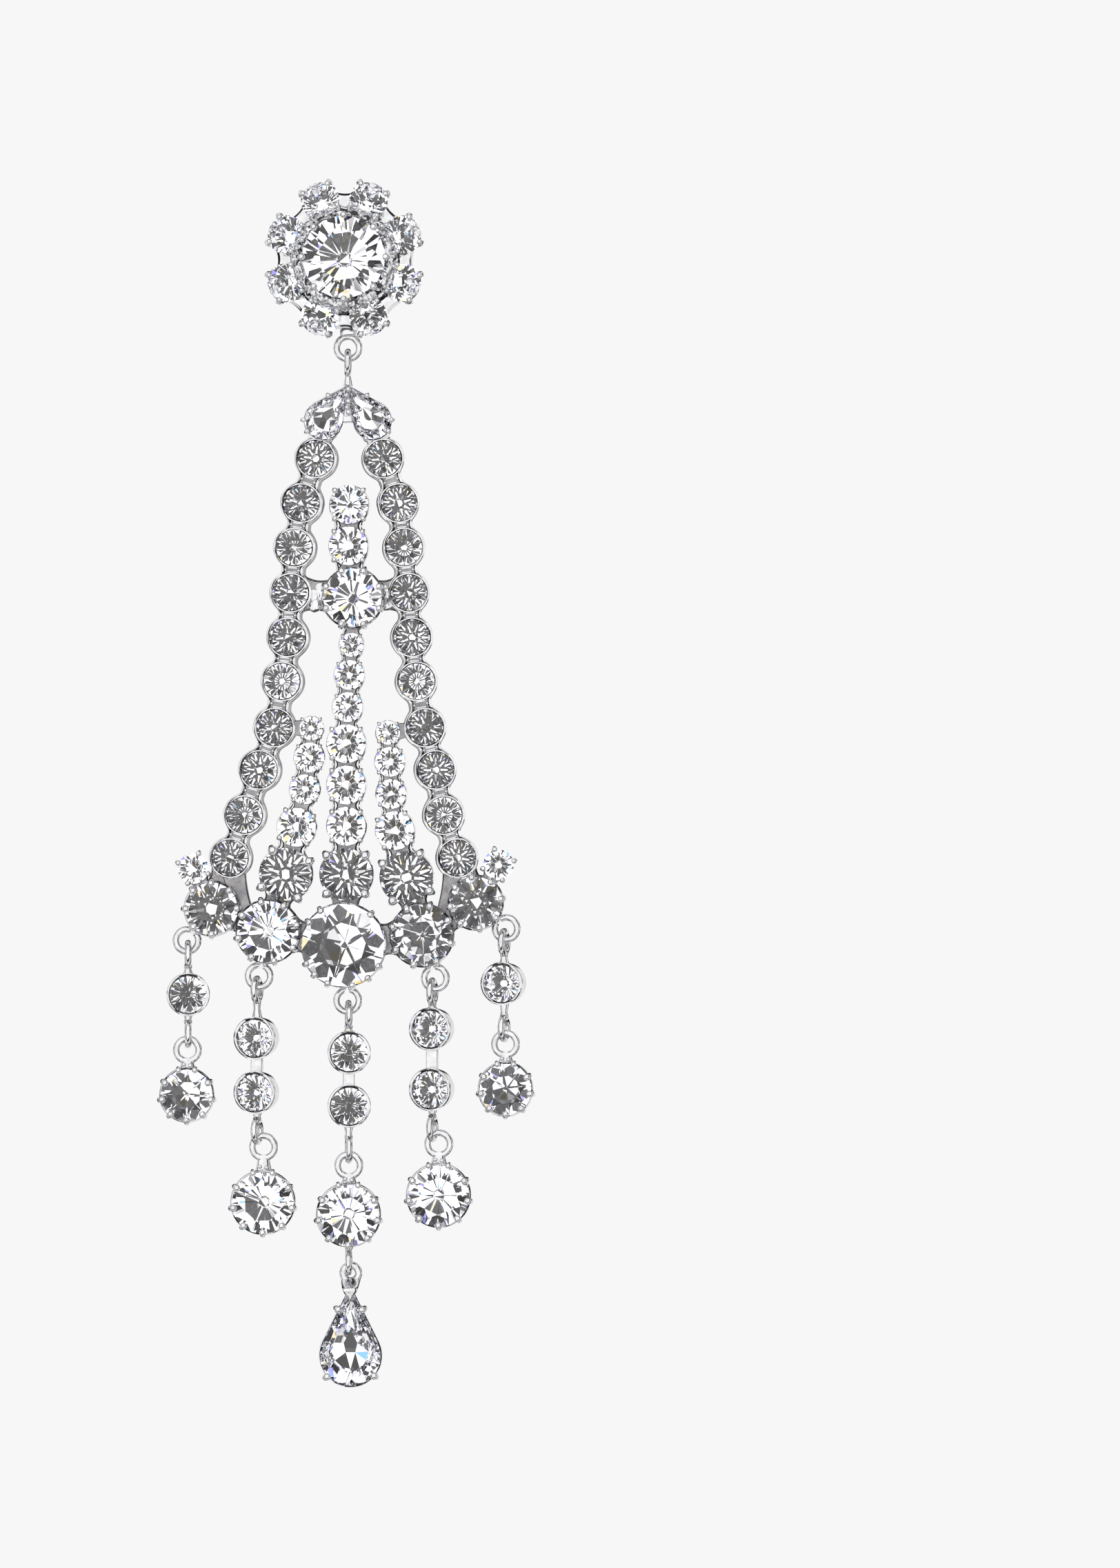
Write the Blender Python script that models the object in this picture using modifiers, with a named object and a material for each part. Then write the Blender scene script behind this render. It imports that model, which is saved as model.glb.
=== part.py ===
"""Chandelier earring: a flower stud, an openwork frame of set stones and five hanging strands.

Metres, +Z up, stones face -Y. The origin is where the post leaves its pad, against the ear lobe.
Run with: blender --background --python part.py
"""

import math

import bmesh
import bpy
from mathutils import Matrix, Vector

# Sizes of the stones, across the girdle
STUD_STONE = 0.0083
PETAL_STONE = 0.0039
PEAR_WIDTH = 0.0039
PEAR_LENGTH = 0.0059
RAIL_STONE = 0.0036
FOOT_STONE = 0.0083
FLANK_STONE = 0.0062
CORNER_STONE = 0.0053
TIP_STONE = 0.0031
LARGE_STONE = 0.0059
BASE_STONE = 0.0053
COLUMN_STONE = 0.0039
SLIM_STONE = 0.0030
SEED_STONE = 0.0024
LINK_STONE = 0.0037
OUTER_DROP_STONE = 0.0052
INNER_DROP_STONE = 0.0062
DROP_PEAR_WIDTH = 0.0061
DROP_PEAR_LENGTH = 0.0100

# Proportions of a foiled round stone, as shares of its width
TABLE_SHARE = 0.52
CROWN_SHARE = 0.18
GIRDLE_SHARE = 0.03
PAVILION_SHARE = 0.42

# The cups that hold the stones
SEAT_GAP = 0.00025
PRONG_GAP = 0.00015
CUP_WALL = 0.00030
CUP_FLOOR = 0.00035
CUP_TAPER = 0.85
BEZEL_RIM = 0.00032
PRONG_THICKNESS = 0.00032
PRONG_WIDTH = 0.00046
PRONG_RISE = 0.00060
PRONG_ROOT = 0.00070
PEAR_PRONG_SHARE = 0.52
ROUND_SIDES = 12
SMALL_SIDES = 10
SMALL_STONE = 0.0054

# Rings and links
WIRE = 0.00064
RING_WIDTH = 0.0029
LINK_CLEARANCE = 0.00022
RING_STEPS = 10
WIRE_SIDES = 5
TAB_WIDTH = 0.0023

# The flower stud and its post
PETALS = 8
PETAL_RING_RADIUS = 0.0063
PETAL_TILT = 24.0
PETAL_LIFT = 0.0047
STUD_STONE_LIFT = 0.0064
BASE_RADIUS = 0.0071
BASE_THICKNESS = 0.0022
SOLDER_GAP = 0.0003
PAD_RADIUS = 0.0030
PAD_THICKNESS = 0.0005
POST_RADIUS = 0.00040
POST_LENGTH = 0.0105

# The frame
HANG_SIDE = 0.0003
HANG_DEPTH = 0.0024
FRAME_HEIGHT = 0.0564
RAIL_REACH = 0.0114
PEAR_SPREAD = 36.0
HEAD_BAR = 0.0035
CUP_BACK = 0.0014
SPINE_WIDTH = 0.0011
RAIL_WEB = 0.0022
SPINE_THICKNESS = 0.0009
SPINE_INSET = 0.00015
ARM_WIDTH = 0.0016
STACK_GAP = 0.00022
RING_BITE = 0.00012

# Each rail stone: how far down the frame, and how far out to the left and the right
RAIL_ROWS = [
    {"down": 0.138, "left": 0.283, "right": 0.311},
    {"down": 0.217, "left": 0.410, "right": 0.449},
    {"down": 0.296, "left": 0.471, "right": 0.494},
    {"down": 0.376, "left": 0.504, "right": 0.536},
    {"down": 0.455, "left": 0.530, "right": 0.563},
    {"down": 0.533, "left": 0.579, "right": 0.603},
    {"down": 0.615, "left": 0.644, "right": 0.678},
    {"down": 0.690, "left": 0.778, "right": 0.771},
    {"down": 0.770, "left": 0.908, "right": 0.842},
    {"down": 0.846, "left": 1.033, "right": 0.962},
]

# The frame's set stones, each placed from an earlier one: bearing in degrees clockwise from up,
# extra gap beyond the stack gap, prongs, and whether the stone is a piece of its own
SET_STONES = [
    {"name": "column_base", "size": "base", "on": "foot", "bearing": 2, "gap": 0.0, "prongs": 4},
    {"name": "column_1", "size": "column", "on": "column_base", "bearing": 0, "gap": 0.0, "prongs": 4},
    {"name": "column_2", "size": "column", "on": "column_1", "bearing": 0, "gap": 0.0, "prongs": 4},
    {"name": "column_3", "size": "column", "on": "column_2", "bearing": 0, "gap": 0.0, "prongs": 4},
    {"name": "column_slim_1", "size": "slim", "on": "column_3", "bearing": 2, "gap": 0.0, "prongs": 0},
    {"name": "column_slim_2", "size": "slim", "on": "column_slim_1", "bearing": 3, "gap": 0.0, "prongs": 0},
    {"name": "column_seed", "size": "seed", "on": "column_slim_2", "bearing": 4, "gap": 0.0001, "prongs": 0},
    {"name": "column_large", "size": "large", "on": "column_seed", "bearing": 2, "gap": 0.0003, "prongs": 8},
    {"name": "column_4", "size": "column", "on": "column_large", "bearing": -5, "gap": 0.0001, "prongs": 4},
    {"name": "column_5", "size": "column", "on": "column_4", "bearing": 1, "gap": 0.0, "prongs": 4},
    {"name": "flank_left", "size": "flank", "on": "foot", "bearing": -80, "gap": 0.0002, "prongs": 8},
    {"name": "flank_right", "size": "flank", "on": "foot", "bearing": 83, "gap": 0.0004, "prongs": 8},
    {"name": "corner_left", "size": "corner", "on": "flank_left", "bearing": -68, "gap": 0.0001, "prongs": 8},
    {"name": "corner_right", "size": "corner", "on": "flank_right", "bearing": 59, "gap": 0.0003, "prongs": 8},
    {"name": "tip_left", "size": "tip", "on": "corner_left", "bearing": -25, "gap": 0.0, "prongs": 4},
    {"name": "tip_right", "size": "tip", "on": "corner_right", "bearing": 31, "gap": 0.0, "prongs": 4},
    {"name": "left_base", "size": "base", "on": "flank_left", "bearing": 17, "gap": 0.0, "prongs": 4},
    {"name": "left_column", "size": "column", "on": "left_base", "bearing": 13, "gap": 0.0, "prongs": 4},
    {"name": "left_slim_1", "size": "slim", "on": "left_column", "bearing": 12, "gap": 0.0002, "prongs": 0},
    {"name": "left_slim_2", "size": "slim", "on": "left_slim_1", "bearing": 8, "gap": 0.0, "prongs": 0},
    {"name": "left_seed", "size": "seed", "on": "left_slim_2", "bearing": 4, "gap": 0.0, "prongs": 0},
    {"name": "right_base", "size": "base", "on": "flank_right", "bearing": -15, "gap": 0.0, "prongs": 4},
    {"name": "right_column", "size": "column", "on": "right_base", "bearing": -14, "gap": 0.0, "prongs": 4},
    {"name": "right_slim_1", "size": "slim", "on": "right_column", "bearing": -6, "gap": 0.0, "prongs": 0},
    {"name": "right_slim_2", "size": "slim", "on": "right_slim_1", "bearing": -2, "gap": 0.0, "prongs": 0},
    {"name": "right_seed", "size": "seed", "on": "right_slim_2", "bearing": -4, "gap": 0.0, "prongs": 0},
]
STONE_SIZES = {
    "foot": FOOT_STONE,
    "flank": FLANK_STONE,
    "corner": CORNER_STONE,
    "tip": TIP_STONE,
    "large": LARGE_STONE,
    "base": BASE_STONE,
    "column": COLUMN_STONE,
    "slim": SLIM_STONE,
    "seed": SEED_STONE,
}
FOOT_OFFSET = -0.0004
FOOT_PRONGS = [48, 123, 146, 207, 226, 248, 283, 307, 329]

# Each strand: the stone its ring is soldered to, that ring's bearing clockwise from down, the link's
# stones, its turn about the vertical, its necks, the drop with its own neck, and how far link and drop
# lie to the side of the ring
STRANDS = [
    {"name": "strand_1", "on": "corner_left", "bearing": 39, "stones": 1, "turn": -4,
     "top_neck": 0.0007, "stone_gap": 0.0, "low_neck": 0.0007, "drop": OUTER_DROP_STONE, "drop_neck": 0.0003,
     "link_side": 0.0001, "drop_side": 0.0001},
    {"name": "strand_2", "on": "flank_left", "bearing": 10, "stones": 2, "turn": 14,
     "top_neck": 0.0015, "stone_gap": 0.0011, "low_neck": 0.0006, "drop": INNER_DROP_STONE, "drop_neck": 0.0008,
     "link_side": -0.0002, "drop_side": 0.0003},
    {"name": "strand_3", "on": "foot", "bearing": -3, "stones": 2, "turn": -5,
     "top_neck": 0.0005, "stone_gap": 0.0010, "low_neck": 0.0011, "drop": INNER_DROP_STONE, "drop_neck": 0.0002,
     "link_side": 0.0001, "drop_side": 0.0002},
    {"name": "strand_4", "on": "flank_right", "bearing": -19, "stones": 2, "turn": 14,
     "top_neck": 0.0004, "stone_gap": 0.0017, "low_neck": 0.0006, "drop": INNER_DROP_STONE, "drop_neck": 0.0004,
     "link_side": -0.0003, "drop_side": 0.0002},
    {"name": "strand_5", "on": "corner_right", "bearing": -51, "stones": 1, "turn": 16,
     "top_neck": 0.0008, "stone_gap": 0.0, "low_neck": 0.0012, "drop": OUTER_DROP_STONE, "drop_neck": 0.0003,
     "link_side": -0.0002, "drop_side": -0.0002},
]
STRAND_WITH_PEAR = "strand_3"
DROP_PRONGS = 9
LINK_BACK = 0.0010
LINK_BAR_WIDTH = 0.0012
NECK_WIDTH = 0.0009
NECK_THICKNESS = 0.0008
NECK_OVERLAP = 0.0003
PEAR_RING_NECK = 0.0002

# What follows from the sizes above
RING_RADIUS = (RING_WIDTH - WIRE) / 2
LINK_STEP = WIRE + LINK_CLEARANCE
HANG_Y = -HANG_DEPTH
FRAME_BACK_Y = HANG_Y + CUP_BACK
STUD_RING_Z = -(BASE_RADIUS + CUP_WALL + RING_RADIUS + WIRE / 2)
PIVOT_Z = STUD_RING_Z - RING_RADIUS
APEX_Z = PIVOT_Z + LINK_STEP - 2 * RING_RADIUS - WIRE
FACE_FRONT = Matrix.Rotation(math.radians(90), 4, "X")


def clear_scene():
    for thing in list(bpy.data.objects):
        bpy.data.objects.remove(thing)


def make_material(name, colour, roughness, metallic):
    material = bpy.data.materials.new(name)
    material.use_nodes = True
    shader = material.node_tree.nodes["Principled BSDF"]
    shader.inputs["Base Color"].default_value = (*colour, 1)
    shader.inputs["Roughness"].default_value = roughness
    shader.inputs["Metallic"].default_value = metallic
    return material


def add_object(name, mesh_maker, collection, matrix, material=None):
    """An object whose mesh comes from mesh_maker(bmesh), placed by a matrix."""
    mesh = bpy.data.meshes.new(name)
    shape = bmesh.new()
    mesh_maker(shape)
    bmesh.ops.recalc_face_normals(shape, faces=shape.faces)
    shape.to_mesh(mesh)
    shape.free()
    if material:
        mesh.materials.append(material)
    thing = bpy.data.objects.new(name, mesh)
    thing.matrix_world = matrix
    collection.objects.link(thing)
    return thing


def hull_maker(points):
    """A faceted convex solid round a set of points."""

    def make(shape):
        corners = [shape.verts.new(point) for point in points]
        bmesh.ops.convex_hull(shape, input=corners)

    return make


def cone_maker(low_radius, high_radius, low, high, sides=ROUND_SIDES):
    """A cylinder, frustum or cone from z = low to z = high, its flats lying on the radii."""

    def make(shape):
        middle = Matrix.Translation((0, 0, (low + high) / 2))
        corner = 1 / math.cos(math.pi / sides)
        bmesh.ops.create_cone(shape, cap_ends=True, segments=sides, radius1=low_radius * corner,
                              radius2=high_radius * corner, depth=high - low, matrix=middle)

    return make


def box_maker(size, centre=(0, 0, 0)):
    def make(shape):
        bmesh.ops.create_cube(shape, size=1)
        bmesh.ops.scale(shape, vec=size, verts=shape.verts)
        bmesh.ops.translate(shape, vec=centre, verts=shape.verts)

    return make


def ring_maker(width):
    """A wire ring about Z: a circle of wire swept round."""

    def make(shape):
        section = bmesh.ops.create_circle(shape, segments=WIRE_SIDES, radius=WIRE / 2,
                                          matrix=Matrix.Translation(((width - WIRE) / 2, 0, 0)) @ FACE_FRONT)
        edges = list({edge for corner in section["verts"] for edge in corner.link_edges})
        bmesh.ops.spin(shape, geom=edges, cent=(0, 0, 0), axis=(0, 0, 1), angle=2 * math.pi,
                       steps=RING_STEPS, use_merge=True)

    return make


def polygon(radius, height, sides, start=0.0):
    return [
        Vector((radius * math.cos(angle), radius * math.sin(angle), height))
        for angle in (start + 2 * math.pi * k / sides for k in range(sides))
    ]


def pear_outline(width, length, height, steps=9):
    """A pear with its tip up and its round end about the origin, at z = height."""
    radius = width / 2
    tip = length - radius
    tangent = math.asin(radius / tip)
    sweep = math.pi + 2 * tangent
    arc = [math.pi - tangent + sweep * k / steps for k in range(steps + 1)]
    points = [Vector((radius * math.cos(a), radius * math.sin(a), height)) for a in arc]
    return points + [Vector((0, tip, height))]


def sides_for(width):
    return SMALL_SIDES if width < SMALL_STONE else ROUND_SIDES


def round_stone_points(width):
    sides = sides_for(width)
    radius = width / 2
    half_step = math.pi / sides
    table = polygon(radius * TABLE_SHARE, width * (CROWN_SHARE + GIRDLE_SHARE), sides, half_step)
    upper = polygon(radius, width * GIRDLE_SHARE, sides, half_step)
    lower = polygon(radius, 0, sides, half_step)
    return table + upper + lower + [Vector((0, 0, -width * PAVILION_SHARE))]


def pear_stone_points(width, length):
    crown = width * (CROWN_SHARE + GIRDLE_SHARE)
    table = [
        Vector((p.x * TABLE_SHARE, p.y * TABLE_SHARE, crown)) for p in pear_outline(width, length, 0, 5)
    ]
    upper = pear_outline(width, length, width * GIRDLE_SHARE)
    lower = pear_outline(width, length, 0)
    keel = [Vector((0, 0, -width * PAVILION_SHARE)), Vector((0, length / 4, -width * PAVILION_SHARE))]
    return table + upper + lower + keel


class Metalwork:
    """One soldered metal piece: solids joined, then the stones' pockets cut, then the prongs joined."""

    def __init__(self, name, parts, helpers, material):
        self.name = name
        self.parts = parts
        self.material = material
        self.stones = []
        self.steps = {}
        for step in ("solids", "pockets", "prongs"):
            collection = bpy.data.collections.new(f"{name}_{step}")
            helpers.children.link(collection)
            self.steps[step] = collection

    def add(self, step, label, maker, matrix):
        helper = add_object(f"{self.name}_{step}_{label}", maker, self.steps[step], matrix)
        helper.display_type = "WIRE"
        helper.hide_render = True
        return helper

    def solid(self, label, maker, matrix=Matrix.Identity(4)):
        return self.add("solids", label, maker, matrix)

    def ring(self, label, matrix, facing, width=RING_WIDTH):
        """A closed wire ring. One that faces front shows its hole to the front; the other is edge-on."""
        turn = FACE_FRONT if facing == "front" else Matrix.Rotation(math.radians(90), 4, "Y")
        return self.solid(label, ring_maker(width), matrix @ turn)

    def bar(self, label, start, end, width, front, back):
        """A flat bar between two points (x, z), from y = front to y = back."""
        run = Vector((end[0] - start[0], end[1] - start[1]))
        angle = math.atan2(run.y, run.x)
        centre = Vector(((start[0] + end[0]) / 2, (front + back) / 2, (start[1] + end[1]) / 2))
        place = Matrix.Translation(centre) @ Matrix.Rotation(-angle, 4, "Y")
        return self.solid(label, box_maker((run.length, back - front, width)), place)

    def prong(self, label, place):
        """A prong whose inner face stands on a girdle point that place brings to its origin, +X outward."""
        offset = (PRONG_GAP + PRONG_THICKNESS / 2, 0, (PRONG_RISE - PRONG_ROOT) / 2)
        self.add("prongs", label, box_maker((PRONG_THICKNESS, PRONG_WIDTH, PRONG_ROOT + PRONG_RISE), offset), place)

    def prongs(self, label, seat, width, angles):
        """Prongs round a round cup, except where a stone beside it leaves them no room."""
        for k, angle in enumerate(angles):
            place = seat @ Matrix.Rotation(math.radians(angle), 4, "Z") @ Matrix.Translation((width / 2, 0, 0))
            if self.has_room(place):
                self.prong(f"{label}_{k}", place)

    def has_room(self, place):
        spot = place @ Vector((PRONG_GAP + PRONG_THICKNESS / 2, 0, 0))
        reach = math.hypot(PRONG_THICKNESS, PRONG_WIDTH) / 2 + PRONG_GAP
        return all((spot - middle).length > radius + reach for middle, radius in self.stones
                   if (place.translation - middle).length > radius + PRONG_GAP / 2)

    def round_cup(self, label, seat, width, prong_angles, depth=None):
        """A prong cup with a conical pocket for a foiled stone."""
        wall = width / 2 + CUP_WALL
        depth = depth or cup_depth(width)
        sides = sides_for(width)
        self.solid(label, cone_maker(wall * CUP_TAPER, wall, -depth, 0, sides), seat)
        tip = width * PAVILION_SHARE
        over = CUP_WALL
        mouth = width / 2 * (1 + over / tip)
        self.add("pockets", label, cone_maker(0, mouth, -tip, over, sides), seat)
        self.prongs(label, seat, width, prong_angles)

    def bezel(self, label, seat, width, depth):
        """A plain cup with its stone's crown standing out of it, in one solid."""
        wall = width / 2 + BEZEL_RIM
        self.solid(f"{label}_cup", cone_maker(wall * CUP_TAPER, wall, -depth, 0, SMALL_SIDES), seat)
        crown = cone_maker(width / 2, width / 2 * TABLE_SHARE, 0, width * CROWN_SHARE, SMALL_SIDES)
        sunk = Matrix.Translation((0, 0, -width * GIRDLE_SHARE))
        self.solid(f"{label}_crown", crown, seat @ sunk)

    def pear_cup(self, label, seat, width, length, sides):
        """A pear cup, with prongs at its round end and on the straight sides that are named."""
        depth = cup_depth(width)
        grow = 2 * CUP_WALL
        rim = pear_outline(width + grow, length + grow * 1.5, 0)
        foot = [Vector((p.x * CUP_TAPER, p.y * CUP_TAPER, -depth)) for p in rim]
        self.solid(label, hull_maker(rim + foot), seat)
        mouth = pear_outline(width, length, 0)
        over = [Vector((p.x, p.y, CUP_WALL)) for p in mouth]
        tip = -width * PAVILION_SHARE
        keel = [Vector((0, 0, tip)), Vector((0, length / 4, tip))]
        self.add("pockets", label, hull_maker(mouth + over + keel), seat)
        self.prongs(label, seat, width, [-35, 215])
        point = length - width / 2
        tangent = math.asin(width / 2 / point)
        for side in sides:
            reach = width / 2 * (1 - PEAR_PRONG_SHARE) / math.cos(tangent)
            turn = tangent if side > 0 else math.pi - tangent
            spot = Matrix.Translation((side * reach, point * PEAR_PRONG_SHARE, 0))
            self.prong(f"{label}_side_{side + 1}", seat @ spot @ Matrix.Rotation(turn, 4, "Z"))

    def finish(self):
        """The finished piece, with its joins and cuts as modifiers on its first solid."""
        first = self.steps["solids"].objects[0]
        self.steps["solids"].objects.unlink(first)
        self.parts.objects.link(first)
        first.name = self.name
        first.hide_render = False
        first.display_type = "TEXTURED"
        first.data.materials.append(self.material)
        for step, operation in (("solids", "UNION"), ("pockets", "DIFFERENCE"), ("prongs", "UNION")):
            if not self.steps[step].objects:
                continue
            modifier = first.modifiers.new(step, "BOOLEAN")
            modifier.operation = operation
            modifier.operand_type = "COLLECTION"
            modifier.collection = self.steps[step]
            modifier.solver = "EXACT"
        return first


def cup_depth(width):
    return width * PAVILION_SHARE + CUP_FLOOR


def seat_at(x, girdle_y, z, turn=0.0):
    """Where a stone's girdle lies, its table to the front, turned about the line of sight."""
    return (Matrix.Translation((x, girdle_y, z)) @ Matrix.Rotation(math.radians(turn), 4, "Y") @ FACE_FRONT)


def spaced(count, start=0.0):
    return [start + 360 * k / count for k in range(count)]


def set_stone(name, seat, points, parts, material):
    """A loose stone, lifted off its cup by the clearance."""
    lift = Matrix.Translation((0, 0, SEAT_GAP))
    return add_object(name, hull_maker(points), parts, seat @ lift, material)


def build_post(parts, silver):
    """The plain post on its pad, as one turned piece."""
    profile = [(0, -PAD_THICKNESS), (PAD_RADIUS, -PAD_THICKNESS), (PAD_RADIUS, 0), (POST_RADIUS, 0),
               (POST_RADIUS, POST_LENGTH - POST_RADIUS), (0, POST_LENGTH)]
    mesh = bpy.data.meshes.new("ear_post")
    edges = [(k, k + 1) for k in range(len(profile) - 1)]
    mesh.from_pydata([(radius, 0, -along) for radius, along in profile], edges, [])
    mesh.materials.append(silver)
    post = bpy.data.objects.new("ear_post", mesh)
    post.rotation_euler = (math.radians(90), 0, 0)
    parts.objects.link(post)
    turned = post.modifiers.new("turned", "SCREW")
    turned.steps = turned.render_steps = ROUND_SIDES
    turned.use_merge_vertices = True
    turned.merge_threshold = 0.00001
    return post


def build_stud(parts, helpers, silver, crystal):
    metal = Metalwork("stud_setting", parts, helpers, silver)
    back = -(PAD_THICKNESS + SOLDER_GAP)
    front = back - BASE_THICKNESS
    metal.solid("base", cone_maker(BASE_RADIUS, BASE_RADIUS, back * -1, front * -1, 2 * ROUND_SIDES), FACE_FRONT)
    centre = seat_at(0, -STUD_STONE_LIFT, 0)
    metal.round_cup("centre", centre, STUD_STONE, spaced(PETALS), STUD_STONE_LIFT + front + BASE_THICKNESS / 2)
    set_stone("stud_centre_stone", centre, round_stone_points(STUD_STONE), parts, crystal)
    depth = cup_depth(PETAL_STONE) + BASE_THICKNESS / 3
    for k in range(PETALS):
        around = math.radians(360 * (k + 0.5) / PETALS)
        seat = (Matrix.Rotation(around, 4, "Y") @ Matrix.Translation((0, -PETAL_LIFT, PETAL_RING_RADIUS))
                @ Matrix.Rotation(math.radians(-PETAL_TILT), 4, "X") @ FACE_FRONT)
        metal.round_cup(f"petal_{k + 1}", seat, PETAL_STONE, spaced(4, 45), depth)
        set_stone(f"stud_petal_stone_{k + 1}", seat, round_stone_points(PETAL_STONE), parts, crystal)
    metal.ring("ring", Matrix.Translation((HANG_SIDE, HANG_Y, STUD_RING_Z)), "front")
    metal.bar("ring_solder", (HANG_SIDE, -BASE_RADIUS + WIRE), (HANG_SIDE, STUD_RING_Z + RING_RADIUS),
              RING_WIDTH / 2, HANG_Y - WIRE / 2 - RING_BITE, HANG_Y + WIRE / 2 + RING_BITE)
    return metal.finish()


def frame_seats():
    """Centre (x, z) and width of each set stone of the frame, each placed from an earlier one."""
    seats = {"foot": (Vector((HANG_SIDE + FOOT_OFFSET, APEX_Z - FRAME_HEIGHT)), FOOT_STONE)}
    for row in SET_STONES:
        start, start_width = seats[row["on"]]
        width = STONE_SIZES[row["size"]]
        reach = (start_width + width) / 2 + STACK_GAP + row["gap"]
        bearing = math.radians(row["bearing"])
        seats[row["name"]] = (start + reach * Vector((math.sin(bearing), math.cos(bearing))), width)
    return seats


def rail_points(side):
    sign = -1 if side == "left" else 1
    return [
        Vector((HANG_SIDE + sign * row[side] * RAIL_REACH, APEX_Z - row["down"] * FRAME_HEIGHT)) for row in RAIL_ROWS
    ]


def nearest(points, target):
    return min(points, key=lambda point: (point - target).length)


def frame_seat(centre, width, turn=0.0):
    return seat_at(centre.x, FRAME_BACK_Y - cup_depth(width), centre.y, turn)


def spine(metal, label, start, end, width=SPINE_WIDTH):
    back = FRAME_BACK_Y - SPINE_INSET
    return metal.bar(label, start, end, width, back - SPINE_THICKNESS, back)


def build_frame(parts, helpers, silver, crystal):
    metal = Metalwork("chandelier_frame", parts, helpers, silver)
    seats = frame_seats()
    rails = {side: rail_points(side) for side in ("left", "right")}
    placed = list(seats.values()) + [(spot, RAIL_STONE) for side in rails for spot in rails[side]]
    metal.stones = [(frame_seat(spot, width).translation, width / 2) for spot, width in placed]
    foot, foot_width = seats["foot"]
    seat = frame_seat(foot, foot_width)
    metal.round_cup("foot", seat, foot_width, FOOT_PRONGS)
    set_stone("foot_stone", seat, round_stone_points(foot_width), parts, crystal)
    for row in SET_STONES:
        name = row["name"]
        centre, width = seats[name]
        seat = frame_seat(centre, width, row["bearing"])
        if row["prongs"]:
            metal.round_cup(name, seat, width, spaced(row["prongs"], 180 / row["prongs"]))
            set_stone(f"{name}_stone", seat, round_stone_points(width), parts, crystal)
        else:
            metal.bezel(name, seat, width - CUP_WALL, cup_depth(width))
        spine(metal, f"{name}_spine", seats[row["on"]][0], centre)

    # The pair of pears at the head, their tips at the ring
    tip = Vector((HANG_SIDE, APEX_Z - CUP_WALL - WIRE / 2))
    pear_centres = {}
    for side, sign in (("left", -1), ("right", 1)):
        spread = math.radians(PEAR_SPREAD)
        reach = PEAR_LENGTH - PEAR_WIDTH / 2 + STACK_GAP
        spot = tip + reach * Vector((sign * math.sin(spread), -math.cos(spread)))
        pear_centres[side] = spot
        seat = frame_seat(spot, PEAR_WIDTH, -sign * PEAR_SPREAD)
        metal.pear_cup(f"pear_{side}", seat, PEAR_WIDTH, PEAR_LENGTH, [sign])
        set_stone(f"pear_{side}_stone", seat, pear_stone_points(PEAR_WIDTH, PEAR_LENGTH), parts, crystal)
    bar_foot = tip - Vector((0, HEAD_BAR))
    metal.bar("head_bar", tip, bar_foot, SPINE_WIDTH, FRAME_BACK_Y - cup_depth(PEAR_WIDTH) * 0.8,
              FRAME_BACK_Y - SPINE_INSET)

    # The rails: plain cups on a flat web
    for side, points in rails.items():
        for k, spot in enumerate(points):
            metal.bezel(f"rail_{side}_{k + 1}", frame_seat(spot, RAIL_STONE), RAIL_STONE, cup_depth(RAIL_STONE))
            before = points[k - 1] if k else pear_centres[side]
            spine(metal, f"rail_{side}_web_{k + 1}", before, spot, RAIL_WEB)
        spine(metal, f"rail_{side}_foot", points[-1], seats[f"corner_{side}"][0], ARM_WIDTH)
        large = seats["column_large"][0]
        spine(metal, f"arm_{side}", large, nearest(points, large), ARM_WIDTH)
        seed = seats[f"{side}_seed"][0]
        spine(metal, f"seed_arm_{side}", seed, nearest(points, seed), ARM_WIDTH)

    # The edge-on ring that hangs on the stud, and the rings that carry the strands
    head_ring_z = PIVOT_Z + LINK_STEP - RING_RADIUS
    metal.ring("head_ring", Matrix.Translation((HANG_SIDE, HANG_Y, head_ring_z)), "side")
    metal.bar("head_solder", (HANG_SIDE, head_ring_z - RING_RADIUS), (HANG_SIDE, tip.y - SPINE_WIDTH), SPINE_WIDTH,
              HANG_Y - SPINE_THICKNESS / 2, HANG_Y + SPINE_THICKNESS)
    rings = {}
    for row in STRANDS:
        centre, width = seats[row["on"]]
        away = math.radians(180 + row["bearing"])
        toward = Vector((math.sin(away), math.cos(away)))
        ring = centre + (width / 2 + CUP_WALL + RING_RADIUS) * toward
        rings[row["name"]] = ring
        metal.ring(f"{row['name']}_ring", Matrix.Translation((ring.x, HANG_Y, ring.y)), "front")
        near = centre + (width / 2 * CUP_TAPER) * toward
        far = centre + (width / 2 + CUP_WALL + WIRE / 2) * toward
        metal.bar(f"{row['name']}_solder", near, far, RING_WIDTH / 2,
                  HANG_Y - WIRE / 2 - RING_BITE, HANG_Y + WIRE / 2 + RING_BITE)
    metal.finish()
    return rings


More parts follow.
